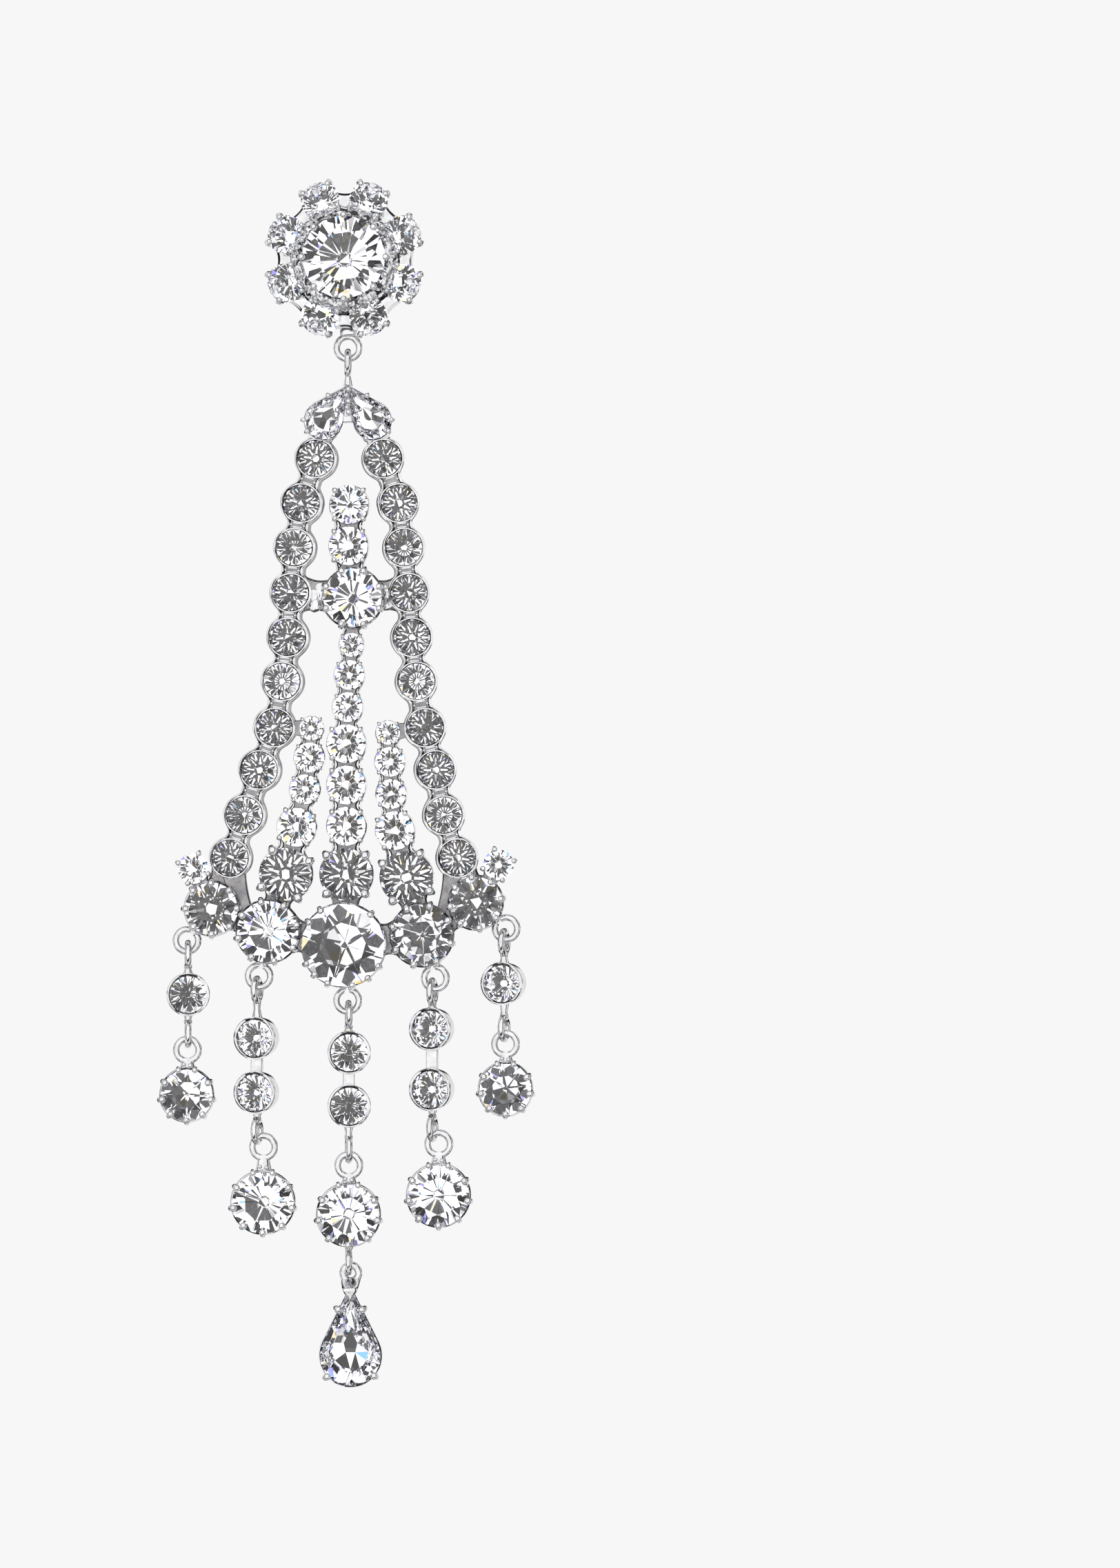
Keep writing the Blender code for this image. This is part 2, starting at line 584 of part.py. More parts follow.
def build_link(row, ring, parts, helpers, silver):
    """A link of one or two set stones between edge-on rings. Returns where its lowest wire is."""
    name = f"{row['name']}_link"
    metal = Metalwork(name, parts, helpers, silver)
    wall = LINK_STONE / 2 + BEZEL_RIM
    depth = cup_depth(LINK_STONE)
    turn = Matrix.Translation((ring.x + row["link_side"], HANG_Y, 0)) @ Matrix.Rotation(math.radians(row["turn"]), 4, "Z").inverted()
    top_ring = ring.y - RING_RADIUS + LINK_STEP - RING_RADIUS
    heights = [top_ring - RING_RADIUS - row["top_neck"] - wall]
    for _ in range(row["stones"] - 1):
        heights.append(heights[-1] - 2 * wall - row["stone_gap"])
    low_ring = heights[-1] - wall - row["low_neck"] - RING_RADIUS
    for k, z in enumerate(heights):
        metal.bezel(f"stone_{k + 1}", turn @ seat_at(0, LINK_BACK - depth, z), LINK_STONE, depth)
    for label, z in (("top", top_ring), ("low", low_ring)):
        metal.ring(f"{label}_ring", turn @ Matrix.Translation((0, 0, z)), "side")
    necks = [("top_neck", heights[0] + wall - NECK_OVERLAP, top_ring - RING_RADIUS, NECK_WIDTH),
             ("low_neck", low_ring + RING_RADIUS, heights[-1] - wall + NECK_OVERLAP, NECK_WIDTH)]
    if row["stones"] > 1:
        necks.append(("bar", heights[1] + wall - NECK_OVERLAP, heights[0] - wall + NECK_OVERLAP, LINK_BAR_WIDTH))
    for label, low, high, width in necks:
        metal.solid(label, box_maker((width, NECK_THICKNESS, high - low), (0, 0, (low + high) / 2)), turn)
    metal.finish()
    return low_ring - RING_RADIUS


def build_drop(row, x, held_at, parts, helpers, silver, crystal):
    """A prong-set drop under a front-facing ring. Returns the lowest wire of its own lower ring, if any."""
    width = row["drop"]
    metal = Metalwork(f"{row['name']}_drop_setting", parts, helpers, silver)
    ring_z = held_at + LINK_STEP - RING_RADIUS
    stone_z = ring_z - RING_RADIUS - WIRE / 2 - row["drop_neck"] - CUP_WALL - width / 2
    seat = seat_at(x, HANG_Y + CUP_BACK - cup_depth(width), stone_z)
    turned = spaced(DROP_PRONGS, 270)
    metal.round_cup("cup", seat, width, [a for a in turned if not 60 < a % 360 < 120])
    set_stone(f"{row['name']}_drop_stone", seat, round_stone_points(width), parts, crystal)
    metal.ring("ring", Matrix.Translation((x, HANG_Y, ring_z)), "front")
    metal.bar("neck", (x, stone_z + width / 2 * CUP_TAPER), (x, ring_z - RING_RADIUS + WIRE / 4), RING_WIDTH / 2,
              HANG_Y - WIRE / 2 - RING_BITE, HANG_Y + WIRE / 2 + RING_BITE)
    lowest = None
    if row["name"] == STRAND_WITH_PEAR:
        low_ring = stone_z - width / 2 - CUP_WALL - PEAR_RING_NECK - RING_RADIUS
        metal.ring("low_ring", Matrix.Translation((x, HANG_Y, low_ring)), "side")
        metal.bar("low_neck", (x, low_ring + RING_RADIUS), (x, stone_z - width / 2 * CUP_TAPER), NECK_WIDTH,
                  HANG_Y - NECK_THICKNESS / 2, HANG_Y + NECK_THICKNESS / 2)
        lowest = low_ring - RING_RADIUS
    metal.finish()
    return lowest


def build_pear_drop(x, held_at, parts, helpers, silver, crystal):
    """The pear at the end of the middle strand, under a ringed tab."""
    metal = Metalwork("pear_drop_setting", parts, helpers, silver)
    tab_z = held_at + LINK_STEP - (TAB_WIDTH - WIRE) / 2
    tip_z = tab_z - TAB_WIDTH / 2 - CUP_WALL / 2
    pear_z = tip_z - (DROP_PEAR_LENGTH - DROP_PEAR_WIDTH / 2)
    seat = seat_at(x, HANG_Y + CUP_BACK - cup_depth(DROP_PEAR_WIDTH), pear_z)
    metal.pear_cup("cup", seat, DROP_PEAR_WIDTH, DROP_PEAR_LENGTH, [-1, 1])
    set_stone("pear_drop_stone", seat, pear_stone_points(DROP_PEAR_WIDTH, DROP_PEAR_LENGTH), parts, crystal)
    metal.ring("tab", Matrix.Translation((x, HANG_Y, tab_z)), "front", TAB_WIDTH)
    metal.bar("tab_neck", (x, tip_z - WIRE), (x, tab_z - TAB_WIDTH / 2 + WIRE * 0.75), TAB_WIDTH * 0.6,
              HANG_Y - WIRE / 2 - RING_BITE, HANG_Y + CUP_BACK - SPINE_INSET)
    metal.finish()


def main():
    clear_scene()
    parts = bpy.data.collections.new("chandelier_earring")
    helpers = bpy.data.collections.new("helpers")
    bpy.context.scene.collection.children.link(parts)
    bpy.context.scene.collection.children.link(helpers)
    silver = make_material("rhodium_plate", (0.78, 0.78, 0.78), 0.12, 1.0)
    crystal = make_material("clear_crystal", (0.93, 0.94, 0.96), 0.03, 0.0)
    build_post(parts, silver)
    build_stud(parts, helpers, silver, crystal)
    rings = build_frame(parts, helpers, silver, crystal)
    for row in STRANDS:
        ring = rings[row["name"]]
        held_at = build_link(row, ring, parts, helpers, silver)
        lowest = build_drop(row, ring.x + row["drop_side"], held_at, parts, helpers, silver, crystal)
        if lowest is not None:
            build_pear_drop(ring.x + 2 * row["drop_side"], lowest, parts, helpers, silver, crystal)


main()
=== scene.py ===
# %% [markdown]
# # A chandelier earring of foiled crystals
# The real earring is cast and stamped brass under a bright rhodium plate, with about seventy pressed
# crystals whose backs are silvered. The working model has every stone and cup at its place, so this
# lesson reads its places and dresses it: fine cups, claws and wires, and stones with real facets.

# %% Load the working model
import math
import random

import bmesh
import bpy
from mathutils import Matrix, Vector


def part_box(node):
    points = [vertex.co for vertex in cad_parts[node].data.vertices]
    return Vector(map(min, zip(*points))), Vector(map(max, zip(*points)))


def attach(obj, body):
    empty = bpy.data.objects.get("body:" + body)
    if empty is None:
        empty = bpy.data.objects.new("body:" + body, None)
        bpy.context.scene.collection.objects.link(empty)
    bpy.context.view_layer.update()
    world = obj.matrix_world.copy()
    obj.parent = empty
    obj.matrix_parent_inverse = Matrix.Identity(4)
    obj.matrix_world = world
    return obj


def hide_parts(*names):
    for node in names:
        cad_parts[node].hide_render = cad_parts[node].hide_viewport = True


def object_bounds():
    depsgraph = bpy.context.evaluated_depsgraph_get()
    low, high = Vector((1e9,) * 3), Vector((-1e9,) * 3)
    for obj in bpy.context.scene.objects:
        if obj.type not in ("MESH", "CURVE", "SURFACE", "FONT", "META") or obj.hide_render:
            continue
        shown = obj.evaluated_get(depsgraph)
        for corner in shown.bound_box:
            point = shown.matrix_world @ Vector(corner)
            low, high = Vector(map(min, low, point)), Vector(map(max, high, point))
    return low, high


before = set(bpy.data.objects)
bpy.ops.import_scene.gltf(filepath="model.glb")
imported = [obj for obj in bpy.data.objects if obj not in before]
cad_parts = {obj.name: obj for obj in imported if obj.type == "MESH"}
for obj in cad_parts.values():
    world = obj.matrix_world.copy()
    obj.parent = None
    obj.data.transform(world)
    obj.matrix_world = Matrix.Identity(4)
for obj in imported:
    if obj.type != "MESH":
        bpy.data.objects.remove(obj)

CAD_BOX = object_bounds()
print("working model", [round((high - low) * 1000, 1) for low, high in zip(*CAD_BOX)], "mm")

# %% [markdown]
# ## Sizes that the pieces share
# A jeweller works from the stones' stock sizes, and the cups follow them. The values here are the
# ones the working model was made with, in metres, so a cup fits its stone without any measuring.

# %% Sizes
WIRE = 0.00066
RING_WIDTH = 0.0029
RING_RADIUS = (RING_WIDTH - WIRE) / 2
# From the middle of one wire to that of the next, where two rings are linked
LINK_STEP = 0.00086
# The plane that the rings hang in, and the flat back of the frame behind it
HANG_X, HANG_Y = 0.0003, -0.0024
FRAME_BACK_Y = HANG_Y + 0.0014
# Heights of a stone's parts, as shares of its width
CROWN_SHARE, GIRDLE_SHARE, PAVILION_SHARE = 0.18, 0.03, 0.42
CUP_FLOOR = 0.00035
STACK_GAP = 0.00022
APEX_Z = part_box("chandelier_frame")[1][2] - RING_WIDTH - WIRE / 2
FRAME_HEIGHT = 0.0564
FACE_FRONT = Matrix.Rotation(math.radians(90), 4, "X")
# Where metal bends by more than this, the edge stays crisp
SOFT_EDGE = math.radians(32)
dice = random.Random(7)


def cup_depth(width):
    return width * PAVILION_SHARE + CUP_FLOOR


def seat_at(x, girdle_y, z, turn=0.0):
    """A stone's own frame: its girdle on the XY plane and its table towards the viewer."""
    return Matrix.Translation((x, girdle_y, z)) @ Matrix.Rotation(math.radians(turn), 4, "Y") @ FACE_FRONT


def corners(node):
    low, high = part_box(node)
    return Vector(low), Vector(high)


print("apex of the frame at z", round(APEX_Z * 1000, 2), "mm")

# %% [markdown]
# ## A small bench of tools
# Most of this earring is three kinds of form: turned cups, bent wire and cut stones. Each tool below
# adds one such form to a bmesh, so that a whole soldered assembly can share one mesh.

# %% Skins and turned forms
def loft(shape, rings, capped=True):
    """Skins a row of rings that all have the same number of points."""
    rows = [[shape.verts.new(point) for point in ring] for ring in rings]
    for before, after in zip(rows, rows[1:]):
        for k in range(len(before)):
            j = (k + 1) % len(before)
            shape.faces.new((before[k], before[j], after[j], after[k]))
    if capped:
        shape.faces.new(rows[0][::-1])
        shape.faces.new(rows[-1])


def spoke(radius, height, count, offset=0.0):
    """Points evenly round a circle, at a height."""
    return [
        Vector((radius * math.cos(a), radius * math.sin(a), height))
        for a in (2 * math.pi * (k + offset) / count for k in range(count))
    ]


def turned(shape, profile, place=Matrix.Identity(4), steps=40, capped=True):
    """A profile of (radius, height) turned about Z."""
    rings = [[place @ point for point in spoke(radius, height, steps)] for radius, height in profile]
    loft(shape, rings, capped)


# %% Bent wire, beads and blocks
def bent(shape, path, radii, place=Matrix.Identity(4), sides=12):
    """A round rod along a path of points, with its radius given at each."""
    points = [Vector(point) for point in path]
    rings = []
    across = (points[1] - points[0]).orthogonal().normalized()
    for k, (point, radius) in enumerate(zip(points, radii)):
        along = (points[min(k + 1, len(points) - 1)] - points[max(k - 1, 0)]).normalized()
        across = (across - along * across.dot(along)).normalized()
        over = along.cross(across)
        rings.append([place @ (point + across * spot.x + over * spot.y) for spot in spoke(radius, 0, sides)])
    loft(shape, rings)


def ball(shape, centre, radius, place=Matrix.Identity(4), squash=1.0):
    """A bead, pressed flatter along Z if squash is under one."""
    rings = 9
    # A ring can't shrink to the pole itself, so the first and the last stop a quarter of a step short
    profile = [(radius * math.sin(a), -radius * squash * math.cos(a))
               for a in (math.pi * (k + 0.25) / (rings - 0.5) for k in range(rings))]
    turned(shape, profile, place @ Matrix.Translation(centre), 14)


def slab(shape, size, place=Matrix.Identity(4), round_off=0.0):
    """A block whose edges are rounded off."""
    made = bmesh.ops.create_cube(shape, size=1, matrix=place @ Matrix.Diagonal((*size, 1)))
    if round_off:
        edges = list({edge for corner in made["verts"] for edge in corner.link_edges})
        bmesh.ops.bevel(shape, geom=edges, offset=round_off, segments=3, profile=0.5, affect="EDGES")


def wire_ring(shape, place, width=RING_WIDTH, wire=WIRE):
    """A jump ring about its own Z axis."""
    middle, steps = (width - wire) / 2, 36
    path = []
    for step in range(steps + 1):
        angle = 2 * math.pi * step / steps
        path.append((middle * math.cos(angle), middle * math.sin(angle), 0))
    bent(shape, path, [wire / 2] * len(path), place, sides=14)


print("a ring is", RING_WIDTH * 1000, "mm wide, of", WIRE * 1000, "mm wire")

# %% [markdown]
# ## From a mesh to a piece
# A soldered assembly is one piece of metal, so it becomes one object. It rides on the stud or on the
# hanging part, and takes the place of the plain solids it stands for. Metal is shaded smooth, apart
# from its crisp edges, while stones keep flat facets.

# %% Turning a mesh into a piece
made_pieces = []


def piece(name, build, body, finishes, nodes=()):
    """A named piece on a body. build fills its bmesh, and nodes are what it stands for."""
    mesh = bpy.data.meshes.new(name)
    shape = bmesh.new()
    build(shape)
    bmesh.ops.recalc_face_normals(shape, faces=shape.faces)
    shape.to_mesh(mesh)
    shape.free()
    for finish in finishes:
        mesh.materials.append(finish)
    thing = bpy.data.objects.new(name, mesh)
    bpy.context.scene.collection.objects.link(thing)
    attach(thing, body)
    if nodes:
        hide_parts(*nodes)
    made_pieces.append(thing)
    return thing


def metal_piece(name, build, body, nodes=(), finish=None):
    """A piece of polished rhodium plate, if no other finish is given."""
    thing = piece(name, build, body, [finish or rhodium], nodes)
    thing.data.shade_smooth()
    thing.data.set_sharp_from_angle(angle=SOFT_EDGE)
    return thing


# %% [markdown]
# ## Finishes
# Rhodium is plated over polished brass. It is a touch darker and cooler than silver, and it comes out
# of the tank mirror bright, so what shows is mostly the room: white paper with dark edges. The tumbler
# that polishes cast parts leaves a faint ripple, a little under a millimetre apart. A noise for the
# ripple and a finer one for the scratches give both, with no picture.

# %% Colours and nodes
def linear(hex_colour):
    """An sRGB hex colour as the linear values that Blender's shaders take."""
    parts = [int(hex_colour[k:k + 2], 16) / 255 for k in (1, 3, 5)]
    return tuple(p / 12.92 if p <= 0.04045 else ((p + 0.055) / 1.055) ** 2.4 for p in parts) + (1.0,)


def add_node(tree, kind, settings=None, values=None, links=None):
    """A node with its settings, its input values and the sockets that feed its inputs."""
    node = tree.nodes.new(kind)
    for name, value in (settings or {}).items():
        setattr(node, name, value)
    for name, value in (values or {}).items():
        node.inputs[name].default_value = value
    for name, socket in (links or {}).items():
        tree.links.new(socket, node.inputs[name])
    return node


def fill_ramp(ramp, stops):
    """Puts (position, colour) stops on a colour ramp, in rising order."""
    ramp.elements.remove(ramp.elements[1])
    ramp.elements[0].position, ramp.elements[0].color = stops[0]
    for position, colour in stops[1:]:
        ramp.elements.new(position).color = colour


def new_finish(name):
    """A material, its node tree and its main shader."""
    finish = bpy.data.materials.new(name)
    finish.use_nodes = True
    tree = finish.node_tree
    return finish, tree, tree.nodes["Principled BSDF"]


# %% Rhodium plate
# The ripple of the tumbler and the scratches of the last polish, in metres. Real scratches are finer,
# and are drawn as coarse as they need to be to show.
RIPPLE, SCRATCHES = 0.0009, 0.00022


def make_rhodium(name, dark, light, smooth, rough):
    """Rhodium whose tone and roughness wander between two values each."""
    finish, tree, shader = new_finish(name)
    where = add_node(tree, "ShaderNodeTexCoord")
    ripple = add_node(tree, "ShaderNodeTexNoise", values={"Scale": 1 / RIPPLE, "Detail": 3.0},
                      links={"Vector": where.outputs["Object"]})
    scratches = add_node(tree, "ShaderNodeTexNoise", values={"Scale": 1 / SCRATCHES, "Detail": 2.0},
                         links={"Vector": where.outputs["Object"]})
    bump = add_node(tree, "ShaderNodeBump", values={"Strength": 0.35, "Distance": 0.00006},
                    links={"Height": ripple.outputs["Fac"]})
    uneven_rough = add_node(tree, "ShaderNodeMapRange",
                            values={"From Min": 0.35, "From Max": 0.7, "To Min": smooth, "To Max": rough},
                            links={"Value": scratches.outputs["Fac"]})
    tone = add_node(tree, "ShaderNodeValToRGB", links={"Fac": ripple.outputs["Fac"]})
    fill_ramp(tone.color_ramp, [(0.3, linear(dark)), (0.7, linear(light))])
    shader.inputs["Metallic"].default_value = 1.0
    tree.links.new(tone.outputs["Color"], shader.inputs["Base Color"])
    tree.links.new(uneven_rough.outputs["Result"], shader.inputs["Roughness"])
    tree.links.new(bump.outputs["Normal"], shader.inputs["Normal"])
    return finish


rhodium = make_rhodium("polished_rhodium_plate", "#D2D2D4", "#ECECED", 0.04, 0.10)
# The webs' plate: rougher, as unpolished metal is, and its tone set far darker than rhodium's as painted shade
# for the recesses behind the stones
shaded_raw_rhodium = make_rhodium("unpolished_rhodium_with_painted_shade", "#858388", "#B0AEAC", 0.20, 0.36)
print("finishes", rhodium.name, shaded_raw_rhodium.name)

# %% [markdown]
# ## Crystal and foil
# The stones are lead crystal, which bends light more than window glass. Their backs are silvered, so
# the lower facets are mirrors seen through the glass, and it is those mirrors, each tipped its own way,
# that come out pure white or dark. Where the silvering has worn at the rim, its gold-toned lacquer shows.

# %% Crystal and its silvered back
CRYSTAL_IOR = 1.56
# How large the patches of haze and of worn silver are, in metres
HAZE_PATCH, WEAR_PATCH = 0.002, 0.0014


def make_crystal():
    """Clear glass with a very slight haze in patches, from years of handling."""
    finish, tree, shader = new_finish("polished_lead_crystal")
    where = add_node(tree, "ShaderNodeTexCoord")
    haze = add_node(tree, "ShaderNodeTexNoise", values={"Scale": 1 / HAZE_PATCH, "Detail": 2.0},
                    links={"Vector": where.outputs["Object"]})
    rough = add_node(tree, "ShaderNodeMapRange",
                     values={"From Min": 0.55, "From Max": 0.8, "To Min": 0.0, "To Max": 0.04},
                     links={"Value": haze.outputs["Fac"]})
    shader.inputs["Base Color"].default_value = linear("#FFFFFF")
    shader.inputs["Transmission Weight"].default_value = 1.0
    shader.inputs["IOR"].default_value = CRYSTAL_IOR
    tree.links.new(rough.outputs["Result"], shader.inputs["Roughness"])
    return finish


def make_foil(name, worn):
    """The silvered back. worn is how much of it, at most, shows gold lacquer."""
    finish, tree, shader = new_finish(name)
    where = add_node(tree, "ShaderNodeTexCoord")
    wear = add_node(tree, "ShaderNodeTexNoise", values={"Scale": 1 / WEAR_PATCH, "Detail": 2.0},
                    links={"Vector": where.outputs["Object"]})
    tone = add_node(tree, "ShaderNodeValToRGB", links={"Fac": wear.outputs["Fac"]})
    fill_ramp(tone.color_ramp, [(1 - worn, linear("#F6F6F8")), (1.02 - worn, linear("#E6CC86"))])
    shader.inputs["Metallic"].default_value = 1.0
    shader.inputs["Roughness"].default_value = 0.01
    tree.links.new(tone.outputs["Color"], shader.inputs["Base Color"])
    return finish


crystal = make_crystal()
foil = make_foil("silver_foil", 0.22)
worn_foil = make_foil("worn_silver_foil", 0.36)
print("finishes", crystal.name, foil.name, worn_foil.name)

# %% [markdown]
# ## Cutting the stones
# A chaton is cut like a small brilliant: a flat table, a ring of kites and triangles to the girdle,
# and a cone of long facets below. All its facets are planes, so the whole stone is the convex hull of a
# few rings of points, and the hull makes the facets by itself. Flat shading keeps them crisp.

# %% The round cut
def uneven(points, most):
    """Each point moved along Z by up to most, as hand polishing leaves them."""
    return [point + Vector((0, 0, dice.uniform(-most, most))) for point in points]


def round_cut(width, slope=44.0, mains=False, culet=0.16, table=0.52, star=0.78, crown=0.16, folds=8,
              sides=16, twist=0.0, off=0.004):
    """Points of a round stone about its girdle, its table up.

    slope is the steepness of the foiled facets in degrees, and sides is how many corners the culet has.
    With mains the culet has as many corners as folds, and the girdle's lower edge rises between them.
    A twist turns the culet by a share of a side, and off is how uneven its height is, of the radius.
    """
    radius, half = width / 2, math.cos(math.pi / folds)
    depth = radius * math.tan(math.radians(slope))
    if mains:
        lift = depth * (1 / half - 1)
        points = spoke(radius, 0, folds, 0.5) + spoke(radius, lift, folds)
        sides, twist = folds, 0.5
    else:
        lift = radius * 0.03
        points = spoke(radius, 0, folds * 2)
    upper = lift + radius * 0.03
    points += spoke(radius, upper, folds * 2)
    star_height = upper + width * crown * (1 - star * half) / (1 - table)
    points += spoke(radius * star, star_height, folds, 0.5)
    points += spoke(radius * table, upper + width * crown, folds)
    return points + uneven(spoke(radius * culet, -depth * (1 - culet), sides, twist), radius * off)


# Common patterns, each told apart by how its foiled facets catch the light
CUTS = {
    "rayed": {"slope": 44.0, "culet": 0.18, "twist": 0.5},
    "wheel": {"slope": 46.0, "culet": 0.25, "sides": 8, "twist": 0.25},
    "bright_star": {"slope": 43.4, "culet": 0.20, "sides": 8},
    "grey_star": {"slope": 44.0, "culet": 0.24, "sides": 8, "twist": 0.5},
    "kites": {"slope": 42.2, "culet": 0.10, "mains": True, "table": 0.56, "off": 0.012},
    "double": {"slope": 42.0, "culet": 0.08, "table": 0.62, "crown": 0.12, "off": 0.020},
    "pinwheel": {"slope": 48.0, "culet": 0.16, "table": 0.60, "crown": 0.12, "off": 0.014},
}


def varied(width, name, spread=0.35):
    """One of the cuts above, its slope off by up to a spread in degrees, as pressed stones are."""
    cut = dict(CUTS[name])
    cut["slope"] += dice.uniform(-spread, spread)
    return round_cut(width, **cut)


print("a round cut has", len(round_cut(0.004)), "points, and there are", len(CUTS), "patterns")

# %% [markdown]
# ## The pear cut
# A pear's outline is an arc and two straight sides that meet at its tip. Smaller copies of the outline,
# drawn in towards one point, make its table and the tiers of its back, and the hull joins them.

# %% The pear cut
def pear_outline(width, length, height, steps=16, scale=1.0):
    """A pear, tip up, its round end about the origin."""
    radius = width / 2
    tip = length - radius
    lean = math.asin(radius / tip)
    sweep = math.pi + 2 * lean
    arc = [math.pi - lean + sweep * k / steps for k in range(steps + 1)]
    made = [Vector((radius * math.cos(a), radius * math.sin(a), height)) for a in arc]
    made.append(Vector((0, tip, height)))
    heart = Vector((0, length * 0.12, height))
    return [heart + (point - heart) * scale for point in made]


# The tiers of the back: how far under the girdle, in half widths, the share of the outline there, and
# how many sides its round end has. The table is given by its share of the outline and its height.
PEAR_BACK = [(0.24, 0.60, 8), (0.35, 0.25, 6)]
PEAR_TABLE, PEAR_CROWN, PEAR_SIDES = 0.62, 0.13, 11


def pear_cut(width, length):
    """A pear stone with a broad table, and a foiled back in two tiers that run up to its tip."""
    girdle, radius = width * GIRDLE_SHARE, width / 2
    points = pear_outline(width, length, girdle + width * PEAR_CROWN, 8, PEAR_TABLE)
    points += pear_outline(width, length, girdle, PEAR_SIDES) + pear_outline(width, length, 0, PEAR_SIDES)
    for deep, share, steps in PEAR_BACK:
        points += uneven(pear_outline(width, length, -radius * deep, steps, share), radius * 0.014)
    return points


print("a pear's outline has", len(pear_outline(0.006, 0.010, 0)), "points")

# %% [markdown]
# ## Setting a stone by hand
# No two stones sit alike: each is tipped by a degree or so in its cup, and so each catches another part
# of the room. A stone's own name seeds its draw, so it stays the same when others are changed.

# %% A stone in its seat
# Foil on the facets within this many degrees of a worn bearing is the worn foil
WORN_REACH = 24


def cut_stone(shape, points, place, worn=()):
    """Adds one stone. Faces under the girdle take the foil, or the worn foil near a worn bearing."""
    made = [shape.verts.new(place @ point) for point in points]
    hull = bmesh.ops.convex_hull(shape, input=made)
    faces = [face for face in hull["geom"] if isinstance(face, bmesh.types.BMFace)]
    up = place.to_3x3() @ Vector((0, 0, 1))
    for face in faces:
        face.normal_update()
        offset = face.calc_center_median() - place.translation
        bearing = math.degrees(math.atan2(offset.z, offset.x))
        if face.normal.dot(up) < 0.05:
            near = any(abs((bearing - middle + 180) % 360 - 180) < WORN_REACH for middle in worn)
            face.material_index = 2 if near else 1
    edges = list({edge for face in faces for edge in face.edges})
    bmesh.ops.dissolve_limit(shape, angle_limit=math.radians(0.3), edges=edges,
                             verts=list({v for face in faces for v in face.verts}), delimit={"MATERIAL"})


def unsettle(most=1.3):
    """A stone's tip in its cup, of up to so many degrees each way, and its turn."""
    tip = Matrix.Rotation(math.radians(dice.uniform(-most, most)), 4, "X")
    nod = Matrix.Rotation(math.radians(dice.uniform(-most, most)), 4, "Y")
    return tip @ nod @ Matrix.Rotation(dice.uniform(0, math.pi / 4), 4, "Z")


def stone_piece(name, points, seat, body, nodes=(), worn=()):
    return piece(name, lambda shape: cut_stone(shape, points, seat, worn), body, [crystal, foil, worn_foil],
                 nodes)


# Draws picked for a stone one by one, where its first draw caught the light unlike the real one
REDRAWN = {"foot_crystal": 4, "stud_centre_crystal": 4, "column_large_crystal": 3, "column_base_crystal": 7}


def set_stone(name, pattern, width, seat, body, nodes=(), worn=()):
    """A round stone, with the small errors of cutting and setting that its own name draws."""
    dice.seed(f"{name} {REDRAWN.get(name, 0)}")
    points = varied(width, pattern)
    return stone_piece(name, points, seat @ unsettle(), body, nodes, worn)


print(len(REDRAWN), "stones have a draw picked by eye")

# %% [markdown]
# ## Where the stones sit
# The larger stones are nodes of the working model, so their boxes give their places and widths. The
# smallest are one with the metal there, and their places are worked out again from the same shares.

# %% Places of the stones
def seat_of(node, turn=0.0):
    """Seat and width of a stone that faces the front."""
    low, high = corners(node)
    width = (high.y - low.y) / (PAVILION_SHARE + CROWN_SHARE + GIRDLE_SHARE)
    middle = (low + high) / 2
    return seat_at(middle.x, high.y - width * PAVILION_SHARE, middle.z, turn), width


RAIL_STONE = 0.0036
RAIL_REACH = 0.0114
# How far down each stone lies, as a share of the frame's height, and how far out, as one of the reach
RAIL_ROWS = [
    {"down": 0.138, "left": 0.283, "right": 0.311},
    {"down": 0.217, "left": 0.410, "right": 0.449},
    {"down": 0.296, "left": 0.471, "right": 0.494},
    {"down": 0.376, "left": 0.504, "right": 0.536},
    {"down": 0.455, "left": 0.530, "right": 0.563},
    {"down": 0.533, "left": 0.579, "right": 0.603},
    {"down": 0.615, "left": 0.644, "right": 0.678},
    {"down": 0.690, "left": 0.778, "right": 0.771},
    {"down": 0.770, "left": 0.908, "right": 0.842},
    {"down": 0.846, "left": 1.033, "right": 0.962},
]
RAILS = {
    side: [Vector((HANG_X + sign * row[side] * RAIL_REACH, APEX_Z - row["down"] * FRAME_HEIGHT))
           for row in RAIL_ROWS]
    for side, sign in (("left", -1), ("right", 1))
}

# Small stones: each one's width, the stone that it follows, its bearing from that one in degrees
# clockwise from up, and the gap that they have beyond the usual one
SMALL_STONES = [
    {"name": "column_slim_1", "width": 0.0030, "on": "column_3", "bearing": 2, "gap": 0.0},
    {"name": "column_slim_2", "width": 0.0030, "on": "column_slim_1", "bearing": 3, "gap": 0.0},
    {"name": "column_seed", "width": 0.0024, "on": "column_slim_2", "bearing": 4, "gap": 0.0001},
    {"name": "left_slim_1", "width": 0.0030, "on": "left_column", "bearing": 12, "gap": 0.0002},
    {"name": "left_slim_2", "width": 0.0030, "on": "left_slim_1", "bearing": 8, "gap": 0.0},
    {"name": "left_seed", "width": 0.0024, "on": "left_slim_2", "bearing": 4, "gap": 0.0},
    {"name": "right_slim_1", "width": 0.0030, "on": "right_column", "bearing": -6, "gap": 0.0},
    {"name": "right_slim_2", "width": 0.0030, "on": "right_slim_1", "bearing": -2, "gap": 0.0},
    {"name": "right_seed", "width": 0.0024, "on": "right_slim_2", "bearing": -4, "gap": 0.0},
]

